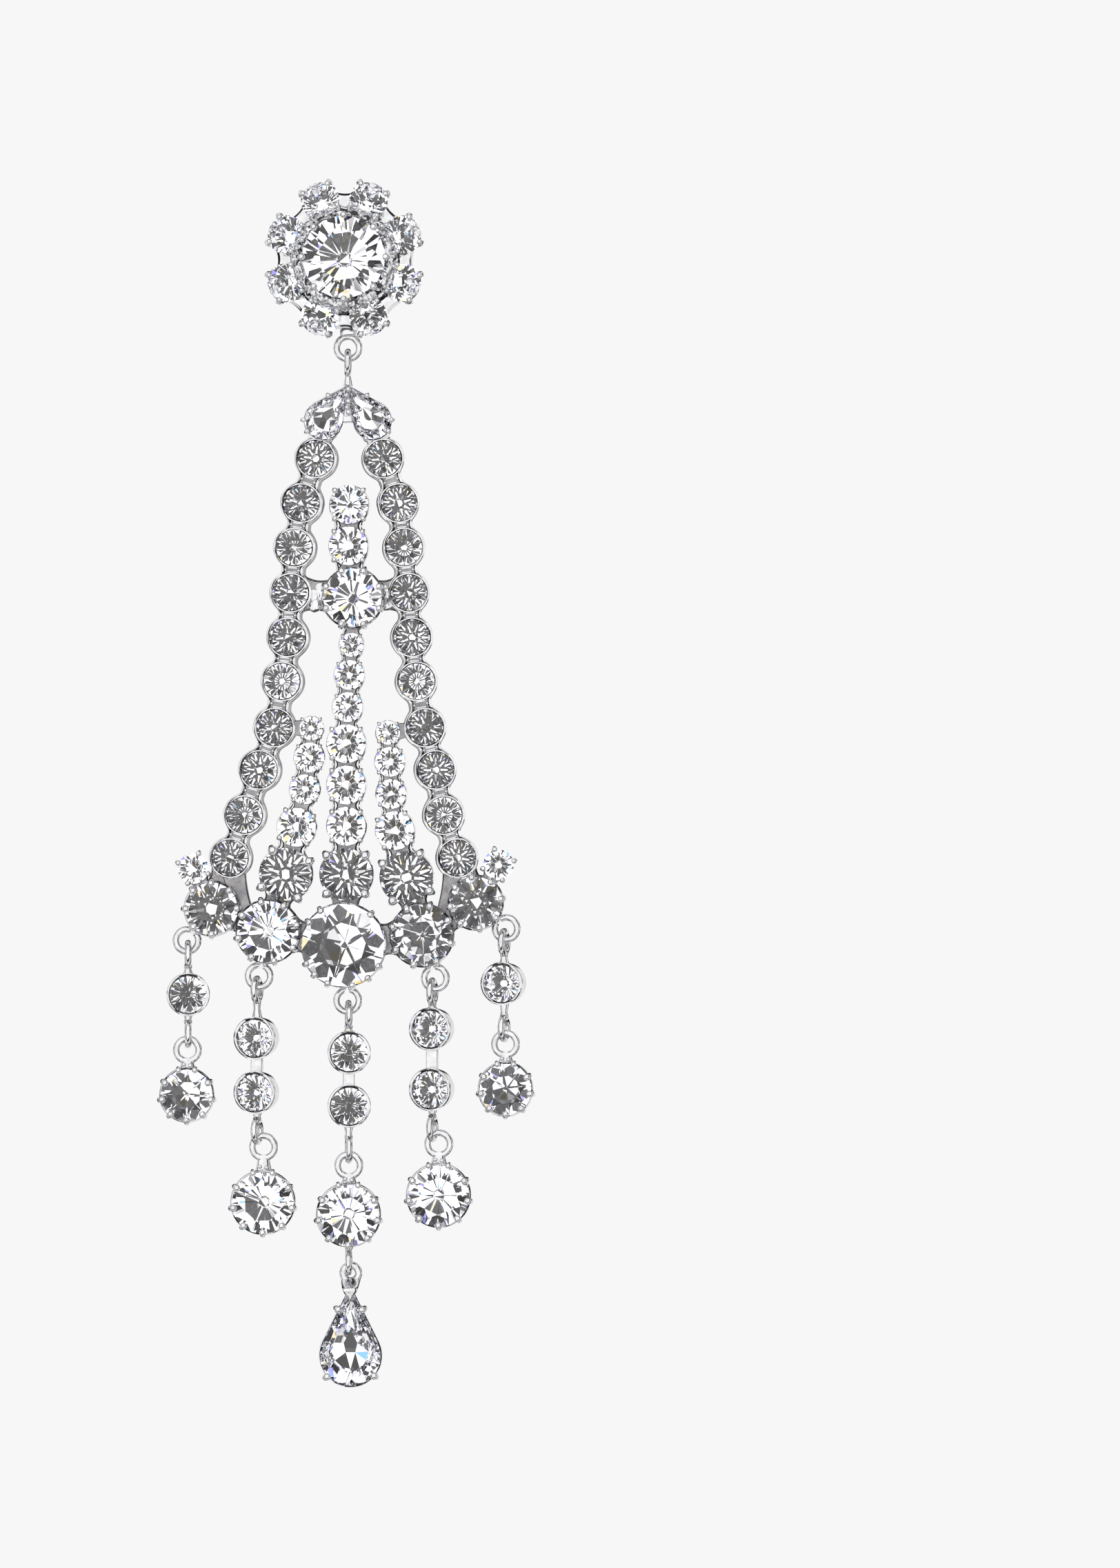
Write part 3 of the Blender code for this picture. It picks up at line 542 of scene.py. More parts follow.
FRAME_STONES = ["column_1", "column_2", "column_3", "column_4", "column_5", "column_base", "column_large",
                "left_base", "left_column", "right_base", "right_column", "foot", "flank_left",
                "flank_right", "corner_left", "corner_right", "tip_left", "tip_right"]
PLACES = {}
for name in FRAME_STONES:
    seat, width = seat_of(f"{name}_stone")
    PLACES[name] = (Vector((seat.translation.x, seat.translation.z)), width)
for row in SMALL_STONES:
    start, start_width = PLACES[row["on"]]
    reach = (start_width + row["width"]) / 2 + STACK_GAP + row["gap"]
    bearing = math.radians(row["bearing"])
    spot = start + reach * Vector((math.sin(bearing), math.cos(bearing)))
    PLACES[row["name"]] = (spot, row["width"])


def frame_seat(spot, width, turn=0.0):
    return seat_at(spot.x, FRAME_BACK_Y - cup_depth(width), spot.y, turn)


print(len(PLACES), "stones in the columns and the foot,", sum(len(r) for r in RAILS.values()), "in the rails")

# %% [markdown]
# ## Cups and claws
# A claw setting is a cone of metal with wires up its side. The stone is dropped in and the wires are
# pushed over its girdle, and their ends are left as small balls so that they don't catch on cloth.

# %% Claw settings
def claw(shape, seat, width, angle, thick=0.00042, tip=0.00036, rise=0.00055, root=None):
    """One claw: up the outside of the cup, over the girdle, with a ball at its end."""
    depth = root or cup_depth(width) * 0.8
    edge = width / 2
    low = edge * 0.86 + thick * 0.4
    path = [(low, 0, -depth), (edge * 0.97 + thick * 0.45, 0, -depth * 0.3), (edge + thick * 0.55, 0, 0),
            (edge + thick * 0.40, 0, rise * 0.55), (edge - thick * 0.05, 0, rise * 0.95)]
    radii = [thick * 0.42, thick * 0.5, thick * 0.52, thick * 0.5, thick * 0.42]
    place = seat @ Matrix.Rotation(math.radians(angle), 4, "Z")
    bent(shape, path, radii, place, sides=10)
    ball(shape, (edge + thick * 0.08, 0, rise * 0.92), tip, place, squash=0.85)


def cup(shape, seat, width, wall=0.00022, steps=40, deeper=0.0):
    """A conical basket under a round stone, open at its top and just inside the girdle."""
    edge, depth = width / 2, cup_depth(width) + deeper
    top = -edge * 0.14
    outside = [(edge * 0.05, -depth), (edge * 0.66, -depth), (edge * 0.72, -depth + wall * 0.5),
               (edge * 0.93, top - wall), (edge * 0.96, top - wall * 0.4), (edge * 0.95, top)]
    inside = [(edge * 0.90, top - wall * 0.2), (edge * 0.62, -depth + wall * 1.6),
              (edge * 0.56, -depth + wall * 0.6), (edge * 0.05, -depth + wall * 0.6)]
    turned(shape, outside + inside, seat, steps)


def claws_for(count, start=0.0):
    """Bearings in degrees of claws that stand evenly round a stone."""
    return [start + 360 * k / count for k in range(count)]


print("a rail stone's cup is", round(cup_depth(RAIL_STONE) * 1000, 2), "mm deep")


# %% [markdown]
# ## The rails
# The rails are stamped strip: a wavy wall that follows the stones on each side, a floor that it stands
# on, and a round seat for each stone. A loft does this best, with a cross-section every seventh of a
# millimetre along the rail, as wide there as the circles of the cups are.

# %% A wavy strip
CUP_RADIUS = 0.00212
WALL = 0.00026
# How narrow the strip gets between two cups, as a share of a cup's radius
WAIST = 0.50
RAIL_FLOOR = RAIL_STONE * PAVILION_SHARE + 0.00032
RAIL_FRONT = FRAME_BACK_Y - cup_depth(RAIL_STONE) - 0.00022


def half_width(along, centres, radii, waist, blend=0.0002):
    """How far the strip reaches to each side of its middle, at a distance along it."""
    cups = sorted(zip(centres, radii), key=lambda cup: abs(cup[0] - along))
    circle = max(math.sqrt(max(radius ** 2 - (along - centre) ** 2, 0)) for centre, radius in cups)
    neck = waist * min(radius for centre, radius in cups[:2])
    return blend * math.log(math.exp(circle / blend) + math.exp(neck / blend))


def strip(shape, spots, radii, front, back, waist, hollow=True, pitch=0.00014):
    """A strip round spots (x, z), each with its own radius, with round ends and a wall if hollow."""
    lengths = [0.0]
    for before, after in zip(spots, spots[1:]):
        lengths.append(lengths[-1] + (after - before).length)
    total = lengths[-1] + radii[0] + radii[-1]
    count = int(total / pitch)
    rows = []
    for k in range(count + 1):
        # The ends stop a five-hundredth short of the round, where the strip would have no width
        along = total * (0.002 + 0.996 * k / count) - radii[0]
        leg = max(0, min(len(spots) - 2, sum(along > length for length in lengths) - 1))
        run = (spots[leg + 1] - spots[leg]).normalized()
        spot = spots[leg] + run * (along - lengths[leg])
        share = (along - lengths[leg]) / (lengths[leg + 1] - lengths[leg]) - 0.5
        other = max(0, min(len(spots) - 2, leg + (1 if share > 0 else -1)))
        run = run.lerp((spots[other + 1] - spots[other]).normalized(), min(abs(share), 0.5)).normalized()
        side = Vector((run.y, -run.x))
        wide = half_width(along, lengths, radii, waist)
        if along < 0:
            wide = math.sqrt(radii[0] ** 2 - along ** 2)
        elif along > lengths[-1]:
            wide = math.sqrt(radii[-1] ** 2 - (along - lengths[-1]) ** 2)
        inner = max(wide - WALL, wide * 0.2)
        soft = min(WALL * 0.35, wide * 0.1)
        section = [(-wide * 0.97, back), (-wide, front + WALL), (-wide + soft * 0.4, front + soft * 0.4),
                   (-(wide + inner) / 2, front)]
        if hollow:
            section += [(-inner - soft * 0.3, front + soft * 0.5), (-inner, front + soft * 1.5),
                        (-inner, min(front + RAIL_FLOOR, back - 0.0003))]
        section += [(-x, y) for x, y in reversed(section)]
        rows.append([(spot.x + side.x * x, y, spot.y + side.y * x) for x, y in section])
    loft(shape, rows)


print("a strip's cups are", round(CUP_RADIUS * 2000, 2), "mm wide")

# %% [markdown]
# ## Stones in the rails
# The strip is pressed against each stone at the two places where it meets its neighbours: a short
# prong lies over the girdle there, and two beads of metal fill the corners between the cups. They are
# small blocks and balls in the same mesh, placed from the line that joins two stones.

# %% The rails
PRONG = (0.0010, 0.0003, 0.00018)
PRONG_GAP, PRONG_ROUNDING = 0.00026, 0.00006
CORNER_BEAD, CORNER_BEADS_AT = 0.00017, (-0.00062, 0.00066)


def seat_lip(shape, seat, width):
    """The bright inner lip that a rail stone sits in."""
    edge = width / 2
    profile = [(edge + 0.00024, -0.0009), (edge + 0.00024, -0.00004), (edge + 0.00018, 0.00006),
               (edge + 0.00008, 0.00006), (edge + 0.00001, -0.00002), (edge - 0.00006, -0.0003)]
    turned(shape, profile, seat, 36, capped=False)


def build_rail(side):
    def build(shape):
        spots = RAILS[side]
        strip(shape, spots, [CUP_RADIUS] * len(spots), RAIL_FRONT, FRAME_BACK_Y, WAIST)
        for spot in spots:
            seat_lip(shape, frame_seat(spot, RAIL_STONE), RAIL_STONE)
        trim_y = RAIL_FRONT + 0.0003
        for before, after in zip(spots, spots[1:]):
            run = (after - before).normalized()
            lean = Matrix.Rotation(math.atan2(run.x, run.y), 4, "Y")
            for end, sign in ((before, 1), (after, -1)):
                at = end + run * sign * (RAIL_STONE / 2 + PRONG_GAP)
                slab(shape, PRONG, Matrix.Translation((at.x, trim_y, at.y)) @ lean, PRONG_ROUNDING)
            middle = (before + after) / 2
            for aside in CORNER_BEADS_AT:
                ball(shape, (middle.x + run.y * aside, trim_y, middle.y - run.x * aside), CORNER_BEAD)
    return build


for side in ("left", "right"):
    metal_piece(f"{side}_rail", build_rail(side), "drop")
    for k, spot in enumerate(RAILS[side]):
        pattern = "rayed" if k % 3 == 2 else "bright_star"
        set_stone(f"{side}_rail_stone_{k + 1}", pattern, RAIL_STONE, frame_seat(spot, RAIL_STONE), "drop")
print("rails done, with", len(made_pieces), "pieces so far")

# %% [markdown]
# ## The columns and the foot
# The other cups of the frame are cast with claws. Along a column, neighbours share the space at their
# corners, so each stone shows two small balls above and two below. The big stones have a claw every
# forty degrees or so.

# %% Order, leans and claws
COLUMN_ORDER = ["foot", "column_base", "column_1", "column_2", "column_3", "column_slim_1", "column_slim_2",
                "column_seed", "column_large", "column_4", "column_5"]
SIDE_ORDER = ["flank", "base", "column", "slim_1", "slim_2", "seed"]
# Turns of the claws about the stone, in degrees, where a cup isn't soldered on upright
LEANS = {"left_column": 13, "left_base": 17, "right_column": -14, "right_base": -15, "tip_left": -25,
         "tip_right": 31, "corner_left": -68, "corner_right": 59, "flank_left": -80, "flank_right": 83}
CLAWED = {name: claws_for(8, 22.5)
          for name in ("column_large", "flank_left", "flank_right", "corner_left", "corner_right")}
CLAWED["foot"] = [48, 123, 146, 207, 226, 248, 283, 307, 329]
WEB_THICKNESS = 0.0009


def claws_of(name, width):
    """A setting's claws: their bearings, the radius of their balls, and how thick they are."""
    if name in CLAWED:
        return CLAWED[name], 0.00036, 0.00056
    corner_claws = claws_for(4, 45)
    if name.endswith("base"):
        return corner_claws, 0.00046, 0.00060
    if name.startswith("tip") or "column" in name and width > 0.0035:
        return corner_claws, 0.00028, 0.00036
    return corner_claws, 0.00020, 0.00028


# %% Column and foot settings
def build_column_strip(shape, chain):
    """The strip that joins a column's cups. It lies just behind their floors, so that neither flickers."""
    widths = [PLACES[name][1] for name in chain]
    front = FRAME_BACK_Y - cup_depth(min(widths)) + 0.0004
    strip(shape, [PLACES[name][0] for name in chain], [width / 2 + 0.0001 for width in widths], front,
          FRAME_BACK_Y + 0.00006, 0.70)


def solder_lumps(shape, spot, width):
    """Flat lumps of solder at both sides of a stone, on the webs."""
    for side in (-1, 1):
        for _ in range(7):
            x = spot.x + side * (width / 2 + dice.uniform(0.0002, 0.0016))
            at = (x, FRAME_BACK_Y - WEB_THICKNESS, spot.y + dice.uniform(-0.0010, 0.0012))
            radius = dice.uniform(0.0004, 0.0008)
            ball(shape, (0, 0, 0), radius, Matrix.Translation(at) @ FACE_FRONT, squash=0.35)


def build_column_settings(shape):
    for chain in (COLUMN_ORDER[1:], [f"left_{step}" for step in SIDE_ORDER[1:]],
                  [f"right_{step}" for step in SIDE_ORDER[1:]]):
        build_column_strip(shape, chain)
    for name, (spot, width) in PLACES.items():
        seat = frame_seat(spot, width, LEANS.get(name, 0))
        # The big cups have a thin rim round the stone, and their claws reach over it
        rim, inset = (0.0006, 0.0003) if name in CLAWED else (0, 0)
        cup(shape, seat, width + rim)
        angles, tip, thick = claws_of(name, width)
        for angle in angles:
            claw(shape, seat, width - inset, angle, thick, tip, rise=0.0004 + width * 0.03)
    solder_lumps(shape, *PLACES["column_large"])


metal_piece("frame_settings", build_column_settings, "drop", ["chandelier_frame"])

# %% Column and foot stones
PATTERNS = {"foot": "kites", "flank_left": "pinwheel", "flank_right": "double", "corner_left": "grey_star",
            "corner_right": "grey_star", "column_large": "pinwheel", "left_base": "bright_star",
            "column_base": "bright_star", "right_base": "bright_star", "column_5": "pinwheel"}
# Where a stone's gold lacquer shows: bearings in degrees, anticlockwise from the right
WORN = {"foot": (250, 292), "corner_left": (215, 250), "column_large": (190,), "flank_right": (300,)}
for name, (spot, width) in PLACES.items():
    own = name in FRAME_STONES
    seat = seat_of(f"{name}_stone")[0] if own else frame_seat(spot, width)
    set_stone(f"{name}_crystal", PATTERNS.get(name, "wheel"), width, seat, "drop",
              [f"{name}_stone"] if own else [], WORN.get(name, ()))
print("columns and foot done, with", len(made_pieces), "pieces so far")

# %% [markdown]
# ## Webs behind the stones
# Flat webs of the casting tie the columns to the rails. Their edges are scooped, which is how molten
# metal freezes between two round bosses, so each is a short strip that is narrowest at its middle.

# %% A web
def web(shape, start, end, wide, narrow, trims=(0, 0), front=None, thick=WEB_THICKNESS):
    """A flat tie from start to end (x, z), less a trim at each, with scooped sides."""
    run = (end - start).normalized()
    start, end = start + run * trims[0], end - run * trims[1]
    run = end - start
    side = Vector((run.y, -run.x)).normalized()
    near = FRAME_BACK_Y - 0.00015 - thick if front is None else front
    rows = []
    steps = 12
    for k in range(steps + 1):
        share = k / steps
        half = (narrow + (wide - narrow) * (2 * share - 1) ** 2) / 2
        spot = start + run * share
        section = [(-half, near + thick), (-half, near + thick * 0.25), (-half * 0.86, near),
                   (half * 0.86, near), (half, near + thick * 0.25), (half, near + thick)]
        rows.append([(spot.x + side.x * x, y, spot.y + side.y * x) for x, y in section])
    loft(shape, rows)


def nearest(points, target):
    return min(points, key=lambda point: (point - target).length)


# %% Webs of the frame
# How far a rail's backing is shifted inward, and how far its saddles start from the stones' middles
BACKING_SHIFT, SADDLE_TRIM = 0.00015, 0.00170


def build_arms(shape, side, rail):
    """The webs that tie the columns and the corner to a rail."""
    large, seed, corner = "column_large", f"{side}_seed", f"corner_{side}"
    for name, target, wide, narrow in (
        (large, nearest(rail, PLACES[large][0]), 0.0040, 0.0030),
        (seed, nearest(rail, PLACES[seed][0]), 0.0019, 0.0015),
        (corner, rail[-1], 0.0036, 0.0026),
    ):
        spot, width = PLACES[name]
        web(shape, spot, target, wide, narrow, (width * 0.32, 0.0010))
    gusset = PLACES[corner][0].lerp(PLACES[f"flank_{side}"][0], 0.55)
    web(shape, rail[-1], gusset, 0.0026, 0.0021, (0.0012, 0.0), FRAME_BACK_Y - 0.0012, 0.0011)


def build_backing(shape, side, rail):
    """The flat back of a rail, and a saddle in each of its necks."""
    inward = Vector((BACKING_SHIFT if side == "left" else -BACKING_SHIFT, 0))
    strip(shape, [spot + inward for spot in rail], [CUP_RADIUS] * len(rail), FRAME_BACK_Y - 0.0003,
          FRAME_BACK_Y + 0.00002, 0.54, hollow=False)
    front = FRAME_BACK_Y - cup_depth(RAIL_STONE) + 0.0002
    for before, after in zip(rail, rail[1:]):
        web(shape, before, after, 0.0020, 0.0016, (SADDLE_TRIM, SADDLE_TRIM), front, 0.0012)


def build_webs(shape):
    chains = [COLUMN_ORDER, ["foot", "flank_left", "corner_left", "tip_left"],
              ["foot", "flank_right", "corner_right", "tip_right"]]
    for side in ("left", "right"):
        chains.append([f"flank_{side}"] + [f"{side}_{step}" for step in SIDE_ORDER[1:]])
    for chain in chains:
        for before, after in zip(chain, chain[1:]):
            (start, start_width), (end, end_width) = PLACES[before], PLACES[after]
            small = min(start_width, end_width)
            web(shape, start, end, small * 0.74, small * 0.5, (start_width * 0.36, end_width * 0.36))
    for side, rail in RAILS.items():
        build_arms(shape, side, rail)
        build_backing(shape, side, rail)


# The webs take the darker plate, whose dark tone is painted shade where they lie back behind the stones
metal_piece("frame_webs", build_webs, "drop", finish=shaded_raw_rhodium)
print("webs done, their metal", WEB_THICKNESS * 1000, "mm thick")

# %% [markdown]
# ## The head: two pears under a ring
# Two small pears lean together under the ring that hangs on the stud. Their cups are walls that follow
# the pear's outline, so the wall is a loft between two such outlines.

# %% Pear settings
def pear_wall(shape, seat, width, length, wall=0.00013, high=-0.00002):
    """The wall of a pear setting, a little wider at its lip than at its foot."""
    depth = cup_depth(width)
    levels = [(0.30, -depth), (0.80, -depth), (0.86, -depth * 0.95), (0.98, -depth * 0.35), (1.0, -wall),
              (1.0, 0.0)]
    rings = []
    for share, height in levels:
        rings.append(pear_outline(width + 2 * wall, length + 2.6 * wall, height, 40, share))
    rings.append(pear_outline(width + wall, length + 1.3 * wall, high, 40))
    rings.append(pear_outline(width * 1.01, length * 1.01, -wall * 0.3, 40))
    rings.append(pear_outline(width, length, -wall, 40))
    rings.append(pear_outline(width, length, -depth * 0.93, 40, 0.55))
    loft(shape, [[seat @ point for point in ring] for ring in rings])


def pear_claw(shape, seat, width, length, share, side, **sizes):
    """A claw on the straight side of a pear, at a share of the way to its tip."""
    point = length - width / 2
    lean = math.asin(width / 2 / point)
    out = width / 2 * (1 - share) / math.cos(lean)
    turn = lean if side > 0 else math.pi - lean
    place = seat @ Matrix.Translation((side * out, point * share, 0)) @ Matrix.Rotation(turn, 4, "Z")
    thick = sizes["thick"]
    claw(shape, place @ Matrix.Translation((-thick * 1.2, 0, 0)), thick * 2.4, 0, root=cup_depth(width) * 0.7,
         **sizes)


# %% The head's two pears
HEAD_WIDTH, HEAD_LENGTH, HEAD_SPREAD = 0.0038, 0.0063, 36.0
# Beads of solder down the seam between the pears: how far down, how far aside, and the radius
SEAM_BEADS = [(0.0009, 0.00006, 0.00030), (0.0015, -0.00010, 0.00026), (0.0021, 0.00008, 0.00030),
              (0.0027, -0.00005, 0.00026), (0.0032, 0.00010, 0.00032)]
HEADS = {}
for side, sign in (("left", -1), ("right", 1)):
    low, high = corners(f"pear_{side}_stone")
    x = low.x + HEAD_WIDTH / 2 if sign < 0 else high.x - HEAD_WIDTH / 2
    HEADS[side] = seat_at(x, high.y - HEAD_WIDTH * PAVILION_SHARE, low.z + HEAD_WIDTH / 2, -sign * HEAD_SPREAD)


def build_seam(shape):
    """What lies between the two pears: a neck under the ring, beads, a block of solder and a web."""
    bent(shape, [(HANG_X, HANG_Y, APEX_Z + 0.00045), (HANG_X, HANG_Y, APEX_Z + 0.0001),
                 (HANG_X, HANG_Y + 0.0001, APEX_Z - 0.0005)], [0.00029, 0.00035, 0.00046])
    top = HEADS["left"].translation.y - 0.0002
    for down, aside, radius in SEAM_BEADS:
        ball(shape, (HANG_X + aside, top, APEX_Z - down), radius)
    slab(shape, (0.0010, 0.0009, 0.0007), Matrix.Translation((HANG_X, top + 0.0001, APEX_Z - 0.0039)), 0.00016)
    web(shape, Vector((HANG_X, APEX_Z - 0.0006)), Vector((HANG_X, APEX_Z - 0.0042)), 0.0008, 0.0011,
        front=top + 0.0003, thick=FRAME_BACK_Y - top - 0.0005)


def build_head(shape):
    for side, sign in (("left", -1), ("right", 1)):
        seat = HEADS[side]
        pear_wall(shape, seat, HEAD_WIDTH, HEAD_LENGTH)
        for angle in (-35, 215, 270 + sign * 20):
            claw(shape, seat, HEAD_WIDTH, angle, 0.00036, 0.00026)
        pear_claw(shape, seat, HEAD_WIDTH, HEAD_LENGTH, 0.52, sign, thick=0.00034, tip=0.00026)
        centre = seat.translation
        web(shape, Vector((centre.x, centre.z)), RAILS[side][0], 0.0032, 0.0024,
            (HEAD_WIDTH * 0.32, 0.0010))
    ring_z = APEX_Z + (WIRE + RING_WIDTH) / 2
    place = Matrix.Translation((HANG_X, HANG_Y, ring_z)) @ Matrix.Rotation(math.radians(90), 4, "Y")
    wire_ring(shape, place)
    build_seam(shape)


metal_piece("head_setting", build_head, "drop")
for side, seat in HEADS.items():
    stone_piece(f"pear_{side}_crystal", pear_cut(HEAD_WIDTH, HEAD_LENGTH), seat, "drop", [f"pear_{side}_stone"])
print("head done, its pears", HEAD_WIDTH * 1000, "by", HEAD_LENGTH * 1000, "mm")

# %% [markdown]
# ## The flower stud
# Eight small chatons tilt outward round one large one, on a domed plate with a scalloped rim. The
# plate's rim shows between the petals, and each petal has two strong corner claws on its outer side.

# %% The stud's sizes and its plate
PETALS, PETAL_STONE, PETAL_RING_RADIUS = 8, 0.0039, 0.0063
PETAL_TILT, PETAL_LIFT = 24.0, 0.0047
STUD_STONE, STUD_STONE_LIFT = 0.0083, 0.0064
PLATE_BACK, PLATE_RADIUS = -0.0008, 0.0071
# How far the plate's rim waves in and out, as a share of its radius
PLATE_WAVE = 0.055
STUD_SEAT = seat_at(0, -STUD_STONE_LIFT, 0)


def petal_seat(k):
    around = math.radians(360 * (k + 0.5) / PETALS)
    return (Matrix.Rotation(around, 4, "Y") @ Matrix.Translation((0, -PETAL_LIFT, PETAL_RING_RADIUS))
            @ Matrix.Rotation(math.radians(-PETAL_TILT), 4, "X") @ FACE_FRONT)


def build_plate(shape):
    """A shallow dish whose rim is drawn in behind the gaps between the petals."""
    rows = []
    steps = 128
    levels = [(0.55, 0.0), (0.93, 0.0), (1.0, 0.0003), (1.0, 0.0013), (0.96, 0.0019), (0.80, 0.0021),
              (0.66, 0.0018), (0.30, 0.0006)]
    for share, height in levels:
        row = []
        for step in range(steps):
            angle = 2 * math.pi * step / steps
            wave = 1 + PLATE_WAVE * math.cos(PETALS * (angle - math.pi / PETALS)) * min(1, share * 1.2)
            radius = PLATE_RADIUS * share * wave
            row.append((radius * math.sin(angle), PLATE_BACK - height, radius * math.cos(angle)))
        rows.append(row)
    loft(shape, rows)


# %% The stud's settings
# The collar's section, from its inside over its top to its outside: radius and height at the centre stone
COLLAR = [(0.0040, -0.0022), (0.0041, -0.0006), (0.0044, -0.0004), (0.0048, -0.0007), (0.0051, -0.0012),
          (0.0053, -0.0022)]
COLLAR_STEPS, COLLAR_BEADS = 90, 34


def build_petal(shape, seat):
    """A petal's cup: two strong claws with hooked ends outside, three fine ones inside."""
    cup(shape, seat, PETAL_STONE)
    for angle in (42, 138):
        claw(shape, seat, PETAL_STONE - 0.0004, angle, 0.00056, 0.00030, rise=0.0005)
        hook = seat @ Matrix.Rotation(math.radians(angle), 4, "Z")
        hook = hook @ Matrix.Translation((PETAL_STONE / 2 - 0.00008, 0, 0.0004))
        slab(shape, (0.0007, 0.0005, 0.0004), hook, 0.00012)
    for angle in (225, 315, 270):
        claw(shape, seat, PETAL_STONE, angle, 0.00034, 0.00025, rise=0.0004)


def build_collar(shape):
    """The rough collar of solder round the centre stone, with beads that ran down on it."""
    rows = []
    for radius, height in COLLAR:
        row = []
        for k in range(COLLAR_STEPS):
            a = 2 * math.pi * k / COLLAR_STEPS
            r = radius + dice.uniform(-0.0001, 0.0001)
            spot = Vector((r * math.cos(a), r * math.sin(a), height + dice.uniform(-0.00016, 0.00016)))
            row.append(STUD_SEAT @ spot)
        rows.append(row)
    rows.append(rows[0])
    loft(shape, rows, capped=False)
    for k in range(COLLAR_BEADS):
        around = 2 * math.pi * (k + dice.uniform(-0.4, 0.4)) / COLLAR_BEADS
        radius, bead = dice.uniform(0.0043, 0.0051), dice.uniform(0.00014, 0.00030)
        spot = (radius * math.cos(around), radius * math.sin(around), dice.uniform(-0.0012, -0.0004))
        ball(shape, spot, bead, STUD_SEAT)


def build_stud(shape):
    build_plate(shape)
    cup(shape, STUD_SEAT, STUD_STONE, wall=0.00025, deeper=0.0007)
    for angle in claws_for(PETALS):
        claw(shape, STUD_SEAT, STUD_STONE, angle, 0.00044, 0.00036)
        claw(shape, STUD_SEAT, STUD_STONE + 0.0006, angle + 22.5, 0.00034, 0.00024, rise=0.0001)
    for k in range(PETALS):
        build_petal(shape, petal_seat(k))
    build_collar(shape)
    ring_z = corners("stud_setting")[0].z + RING_WIDTH / 2
    wire_ring(shape, Matrix.Translation((HANG_X, HANG_Y, ring_z)) @ FACE_FRONT)
    solder = Matrix.Translation((HANG_X, HANG_Y, ring_z + RING_WIDTH / 2 + 0.0001))
    slab(shape, (0.0016, 0.0011, 0.0009), solder, 0.0003)


metal_piece("stud_metal", build_stud, "stud", ["stud_setting"])

# %% The stud's stones
set_stone("stud_centre_crystal", "pinwheel", STUD_STONE, STUD_SEAT, "stud", ["stud_centre_stone"], (88, 268))
for k in range(PETALS):
    set_stone(f"petal_crystal_{k + 1}", ("wheel", "bright_star")[k % 2], PETAL_STONE, petal_seat(k), "stud",
              [f"stud_petal_stone_{k + 1}"])
print("stud done, with", PETALS, "petals")

# %% [markdown]
# ## The post
# The post is hard-drawn wire on a round pad. Its end is rounded for the ear, and a groove near the end
# keeps the back piece on. All of it is one profile turned about the wire.

# %% The post
PAD_RADIUS, STEM_RADIUS = 0.0030, 0.00040


def build_post(shape):
    """A turned post on a flat pad, with the groove that a scroll back snaps into."""
    low, high = corners("ear_post")
    pad, stem, length = PAD_RADIUS, STEM_RADIUS, high.y
    plate = [(pad * 0.1, low.y), (pad - 0.0001, low.y), (pad, low.y + 0.0001), (pad, -0.0001),
             (pad - 0.0001, 0)]
    foot = [(stem + 0.0002, 0), (stem + 0.00005, 0.00008), (stem, 0.0003)]
    groove = [(stem, length - 0.0030), (stem * 0.78, length - 0.0027), (stem * 0.78, length - 0.0025),
              (stem, length - 0.0022)]
    end = [(stem, length - 0.0006), (stem * 0.8, length - 0.0003), (stem * 0.4, length - 0.00006),
           (stem * 0.1, length)]
    turned(shape, plate + foot + groove + end, Matrix.Rotation(math.radians(-90), 4, "X"), 40)


metal_piece("post_metal", build_post, "stud", ["ear_post"])
print("the post ends at y", round(corners("ear_post")[1].y * 1000, 2), "mm")

# %% [markdown]
# ## The strands
# Each strand is a link with one or two plain-set stones, hung from a ring of the frame, with a claw-set
# drop below. The link's cups are short tubes whose lip is rubbed over the stone on its left and right.

# %% Strands, and the cups of their links
LINK_STONE, BEZEL_RIM, LINK_BACK = 0.0037, 0.00032, 0.0010
# Each strand's turn is in degrees, and the necks join its rings to its cups
STRANDS = [
    {"name": "strand_1", "stones": 1, "turn": -4, "top_neck": 0.0007, "stone_gap": 0.0, "low_neck": 0.0007,
     "link_side": 0.0001},
    {"name": "strand_2", "stones": 2, "turn": 14, "top_neck": 0.0015, "stone_gap": 0.0011, "low_neck": 0.0006,
     "link_side": -0.0002},
    {"name": "strand_3", "stones": 2, "turn": -5, "top_neck": 0.0005, "stone_gap": 0.0010, "low_neck": 0.0011,
     "link_side": 0.0001},
    {"name": "strand_4", "stones": 2, "turn": 14, "top_neck": 0.0004, "stone_gap": 0.0017, "low_neck": 0.0006,
     "link_side": -0.0003},
    {"name": "strand_5", "stones": 1, "turn": 16, "top_neck": 0.0008, "stone_gap": 0.0, "low_neck": 0.0012,
     "link_side": -0.0002},
]


def tube_cup(shape, seat, width):
    """A short tube with a floor, and its lip rubbed over left and right of the stone."""
    edge, depth, rim = width / 2, cup_depth(width), BEZEL_RIM
    profile = [(edge * 0.05, -depth), (edge + rim * 0.3, -depth), (edge + rim * 0.6, -depth + rim * 0.4),
               (edge + rim, -0.0001), (edge + rim * 0.95, 0.00008), (edge + rim * 0.7, 0.00014),
               (edge + rim * 0.45, 0.0001), (edge + rim * 0.3, -0.0002), (edge * 0.97, -0.0003),
               (edge * 0.1, -depth + rim)]
    turned(shape, profile, seat, 48)
    rub_radius, rub_reach, steps = edge + rim * 0.42, 62, 16
    for middle in (0, 180):
        path, radii = [], []
        for step in range(steps + 1):
            angle = math.radians(middle - rub_reach + 2 * rub_reach * step / steps)
            # The rubbed lip swells from nothing and back, just short of nothing at its two ends
            fade = math.sin(math.pi * (step + 0.6) / (steps + 1.2)) ** 0.5
            path.append((rub_radius * math.cos(angle), rub_radius * math.sin(angle), 0.00018 * fade))
            radii.append(0.00006 + 0.00010 * fade)
        bent(shape, path, radii, seat, sides=8)


